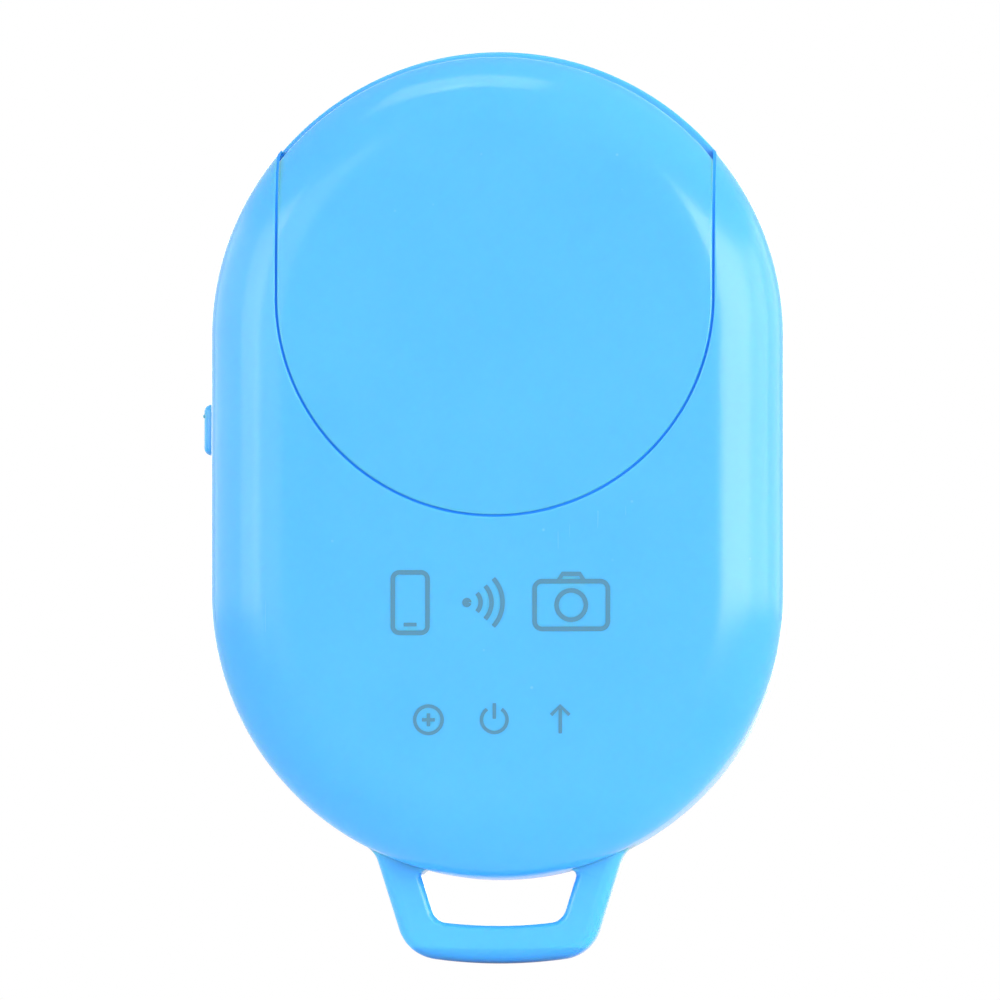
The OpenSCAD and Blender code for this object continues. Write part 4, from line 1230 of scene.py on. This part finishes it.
def tipped(name, middle_z, **values):
    """Grained ceramic between tinned ends, for a row of small chips around one height."""
    made = grained(name, **values)
    net, shader = reopen(made)
    off = net.math("ABSOLUTE", away_from(net, 0.0, middle_z)[2])
    tin = net.ramp(off, (CHIP_END - CHIP_BLEND) * MM, (CHIP_END + CHIP_BLEND) * MM)
    paint_over(net, shader, tin, srgb("#cfd0d0"))
    net.fill(shader.inputs["Metallic"], tin)
    return made


capacitor_tan = tipped("capacitor_ceramic", 14.3, Colour=srgb("#a98a5c"), Fleck=srgb("#b99c70"),
                       Roughness=0.45)
resistor_black = tipped("resistor_film", 20.8, Colour=srgb("#1b1c20"), Fleck=srgb("#2b2c30"),
                        Roughness=0.34)

# %% [markdown]
# ## The circuit board
#
# Solder mask is a green lacquer over copper. Where a track runs below it the green is
# lighter and the surface stands a hair higher. Tracks run in bundles that turn at right
# angles: square cells pick whether their tracks go across or along, and a fine wave draws
# them. Small tinned rings stand for the vias.

# %% Solder mask
solder_mask, net, shader = material("solder_mask")
where = net.where()
blocks = net.cells(where, 260.0, 0.6, distance="CHEBYCHEV")
pick = net.parts("ShaderNodeSeparateColor", blocks["Color"])
waves = [net.node("ShaderNodeTexWave", {"Vector": where, "Scale": 700.0}, bands_direction=axis)
         for axis in ("X", "Z")]
turn = net.ramp(pick["Red"], 0.49, 0.51)
both = net.node("ShaderNodeMix", {0: turn, 2: waves[0].outputs["Fac"], 3: waves[1].outputs["Fac"]})
track = net.times(net.ramp(both.outputs[0], 0.55, 0.7), net.ramp(pick["Green"], 0.34, 0.36))
vias = net.cells(where, 420.0, 0.9)
rare = net.parts("ShaderNodeSeparateColor", vias["Color"])["Blue"]
ring = net.less(net.ramp(vias["Distance"], 0.05, 0.06), net.ramp(vias["Distance"], 0.11, 0.12))
ring = net.times(ring, net.ramp(rare, 0.72, 0.74))
shades = net.noise(where, 240.0, 3.0)
green = net.mix(shades, srgb("#175236"), srgb("#1f6443"))
green = net.mix(net.times(track, 0.6), green, srgb("#2f8a5c"))
net.fill(shader.inputs["Base Color"], net.mix(ring, green, srgb("#c4c6c2")))
net.fill(shader.inputs["Metallic"], ring)
net.fill(shader.inputs["Roughness"], net.add(0.22, net.times(shades, 0.12)))
bump(net, shader, net.add(track, ring), 0.5, 0.00002)

# %% [markdown]
# ## The cell's can
#
# The flat side of the can faces the door. It was turned smooth, so its lines run round the
# middle. A ring is stamped near the rim, and a plain plus sign tells the pole.

# %% Turned steel with a stamped ring and a plus sign
RING_R, RING_W = 8.3, 0.22
PLUS_ARM, PLUS_W = 1.7, 0.28
TURNED_HEIGHT, STAMP_DEPTH = 0.08, 0.00005
cell_steel = rolled("turned_cell_steel", Stretch=ALL_ROUND, Lines=0.2, Stains=0.25, Roughness=0.2)
net, shader = reopen(cell_steel)
far, across, along = away_from(net, 0.0, DOOR_Z)
turned = net.node("ShaderNodeTexNoise", {"W": far, "Scale": 16000.0, "Detail": 2.0}, noise_dimensions="1D")
off_ring = net.math("ABSOLUTE", net.less(far, RING_R * MM))
stamp = net.less(1.0, net.ramp(off_ring, RING_W * 0.6 * MM, RING_W * MM))
wide, high = net.math("ABSOLUTE", across), net.math("ABSOLUTE", along)
near_arm = net.math("LESS_THAN", net.math("MINIMUM", wide, high), PLUS_W * MM)
plus = net.times(near_arm, net.math("LESS_THAN", net.math("MAXIMUM", wide, high), PLUS_ARM * MM))
relief = net.less(net.times(turned.outputs["Fac"], TURNED_HEIGHT), net.math("MAXIMUM", stamp, plus))
bump(net, shader, relief, 0.7, STAMP_DEPTH)
paint_over(net, shader, net.times(plus, 0.55), srgb("#6d6e70"))

# %% Give the inner parts their finishes
INNER = {
    solder_mask: ["circuit_board"],
    screw_steel: ["board_screws"],
    cell_steel: ["coin_cell_can"],
    gasket_nylon: ["coin_cell_gasket"],
    nickel: ["coin_cell_cap", "large_switch_cover", "small_switch_cover", "slide_switch_can"],
    crystal_steel: ["crystal_can"],
    tinned: ["memory_chip_leads"],
    spring_gilt: ["battery_contact_negative", "battery_contact_positive"],
    trace_gilt: ["antenna_trace"],
    radio_epoxy: ["bluetooth_chip"],
    memory_epoxy: ["memory_chip"],
    black_nylon: ["large_switch_base", "small_switch_base", "slide_switch_base"],
    white_nylon: ["large_switch_plunger", "small_switch_plunger", "slide_switch_actuator"],
    capacitor_tan: ["chip_capacitors"],
    resistor_black: ["chip_resistors"],
    light_resin: ["status_led"],
}
for finish, names in INNER.items():
    for name in names:
        for slot in nodes[name].material_slots:
            slot.material = finish
print("inner nodes with their own finish:", sum(len(names) for names in INNER.values()))

# %% [markdown]
# ## Light
#
# Big soft boxes round the object give the broad bands along its roundings, and the world
# fills in the rest. World and floor are white to the camera and to reflections, and give
# less light than that to the surfaces. The floor keeps the object's shadow, and from below
# it is clear, because the camera stands a little lower than the floor.

# %% Floor and world
WORLD_FILL = 0.58
FLOOR_LIFT = 0.36
FLOOR_REACH = 8.0


def seen_itself(net):
    """1 where the camera sees a thing itself, in a reflection or through the lens, and else 0."""
    rays = net.node("ShaderNodeLightPath").outputs
    seen = net.math("MAXIMUM", rays["Is Camera Ray"], rays["Is Glossy Ray"])
    return net.math("MAXIMUM", seen, rays["Is Transmission Ray"])


world = bpy.data.worlds.new("studio")
bpy.context.scene.world = world
world.use_nodes = True
world.node_tree.nodes.clear()
net = Net(world.node_tree)
strength = net.add(net.times(seen_itself(net), 1.0 - WORLD_FILL), WORLD_FILL)
sky = net.node("ShaderNodeBackground", {"Color": (1.0, 1.0, 1.0, 1.0), "Strength": strength})
net.node("ShaderNodeOutputWorld", {"Surface": sky.outputs["Background"]})

floor_mesh = bpy.data.meshes.new("floor")
corners = [(x * FLOOR_REACH, y * FLOOR_REACH, 0) for x, y in ((-1, -1), (1, -1), (1, 1), (-1, 1))]
floor_mesh.from_pydata(corners, [], [(0, 1, 2, 3)])
floor = bpy.data.objects.new("floor", floor_mesh)
bpy.context.scene.collection.objects.link(floor)
card, net, shader = material("floor_card")
set_shader(shader, Base_Color=srgb("#f4f5f6"), Roughness=0.9, Specular_IOR_Level=0.0,
           Emission_Color=(1, 1, 1, 1))
net.fill(shader.inputs["Emission Strength"], net.times(seen_itself(net), FLOOR_LIFT))
behind = net.node("ShaderNodeNewGeometry").outputs["Backfacing"]
clear = net.node("ShaderNodeBsdfTransparent").outputs["BSDF"]
either = net.node("ShaderNodeMixShader", {0: behind, 1: shader.outputs["BSDF"], 2: clear})
net.fill(net.tree.nodes["Material Output"].inputs["Surface"], either.outputs["Shader"])
floor_mesh.materials.append(card)

# %% [markdown]
# A lamp close beside the object would leave an edge of light on the floor, so most of them
# skip the floor by light linking. A weak strip on the floor, just under the object, stands
# for the light that a white table throws back at its underside and its loop.

# %% Soft boxes
all_but_floor = bpy.data.collections.new("all_but_floor")
all_but_floor.objects.link(floor)
all_but_floor.collection_objects[0].light_linking.link_state = "EXCLUDE"
LAMP_AIM = Vector((0, 0, 0.025))


def softbox(name, azimuth, elevation, distance, width, height, radiance, on_floor=False):
    """A rectangular lamp that faces the object. Azimuth 0 stands before the rear face, 90 at its right."""
    lamp = bpy.data.lights.new(name, "AREA")
    lamp.shape, lamp.size, lamp.size_y = "RECTANGLE", width, height
    lamp.energy = radiance * math.pi * width * height
    made = bpy.data.objects.new(name, lamp)
    a, e = math.radians(azimuth), math.radians(elevation)
    out = Vector((math.sin(a) * math.cos(e), -math.cos(a) * math.cos(e), math.sin(e)))
    made.location = LAMP_AIM + out * distance
    made.rotation_euler = (-out).to_track_quat("-Z", "Y").to_euler()
    made.visible_camera = False
    if not on_floor:
        made.light_linking.receiver_collection = all_but_floor
    bpy.context.scene.collection.objects.link(made)
    return made


softbox("right_box", 37, 5, 0.6, 0.38, 0.36, 5.2)
softbox("right_side_box", 72, 5, 0.6, 0.38, 0.4, 3.2)
softbox("right_back_box", 110, 8, 0.6, 0.48, 0.4, 1.5)
softbox("left_box", -47, 6, 0.6, 0.28, 0.4, 2.4)
softbox("left_glow_box", -27, 6, 0.7, 0.36, 0.4, 1.1)
softbox("left_side_box", -97, 8, 0.6, 0.8, 0.4, 1.1)
softbox("top_box", -19, 60, 0.6, 0.34, 0.19, 2.1, on_floor=True)
softbox("spot_box", -17.5, 53, 0.6, 0.07, 0.03, 4.0)
softbox("back_box", 180, 8, 0.8, 0.5, 0.5, 2.1)
under = softbox("under_card", 0, -90, 0.0242, 0.07, 0.02, 0.42)
under.rotation_euler = (math.pi, 0.0, 0.0)
under.visible_glossy = False

# %% Set the view transform
bpy.context.scene.view_settings.view_transform = "Standard"
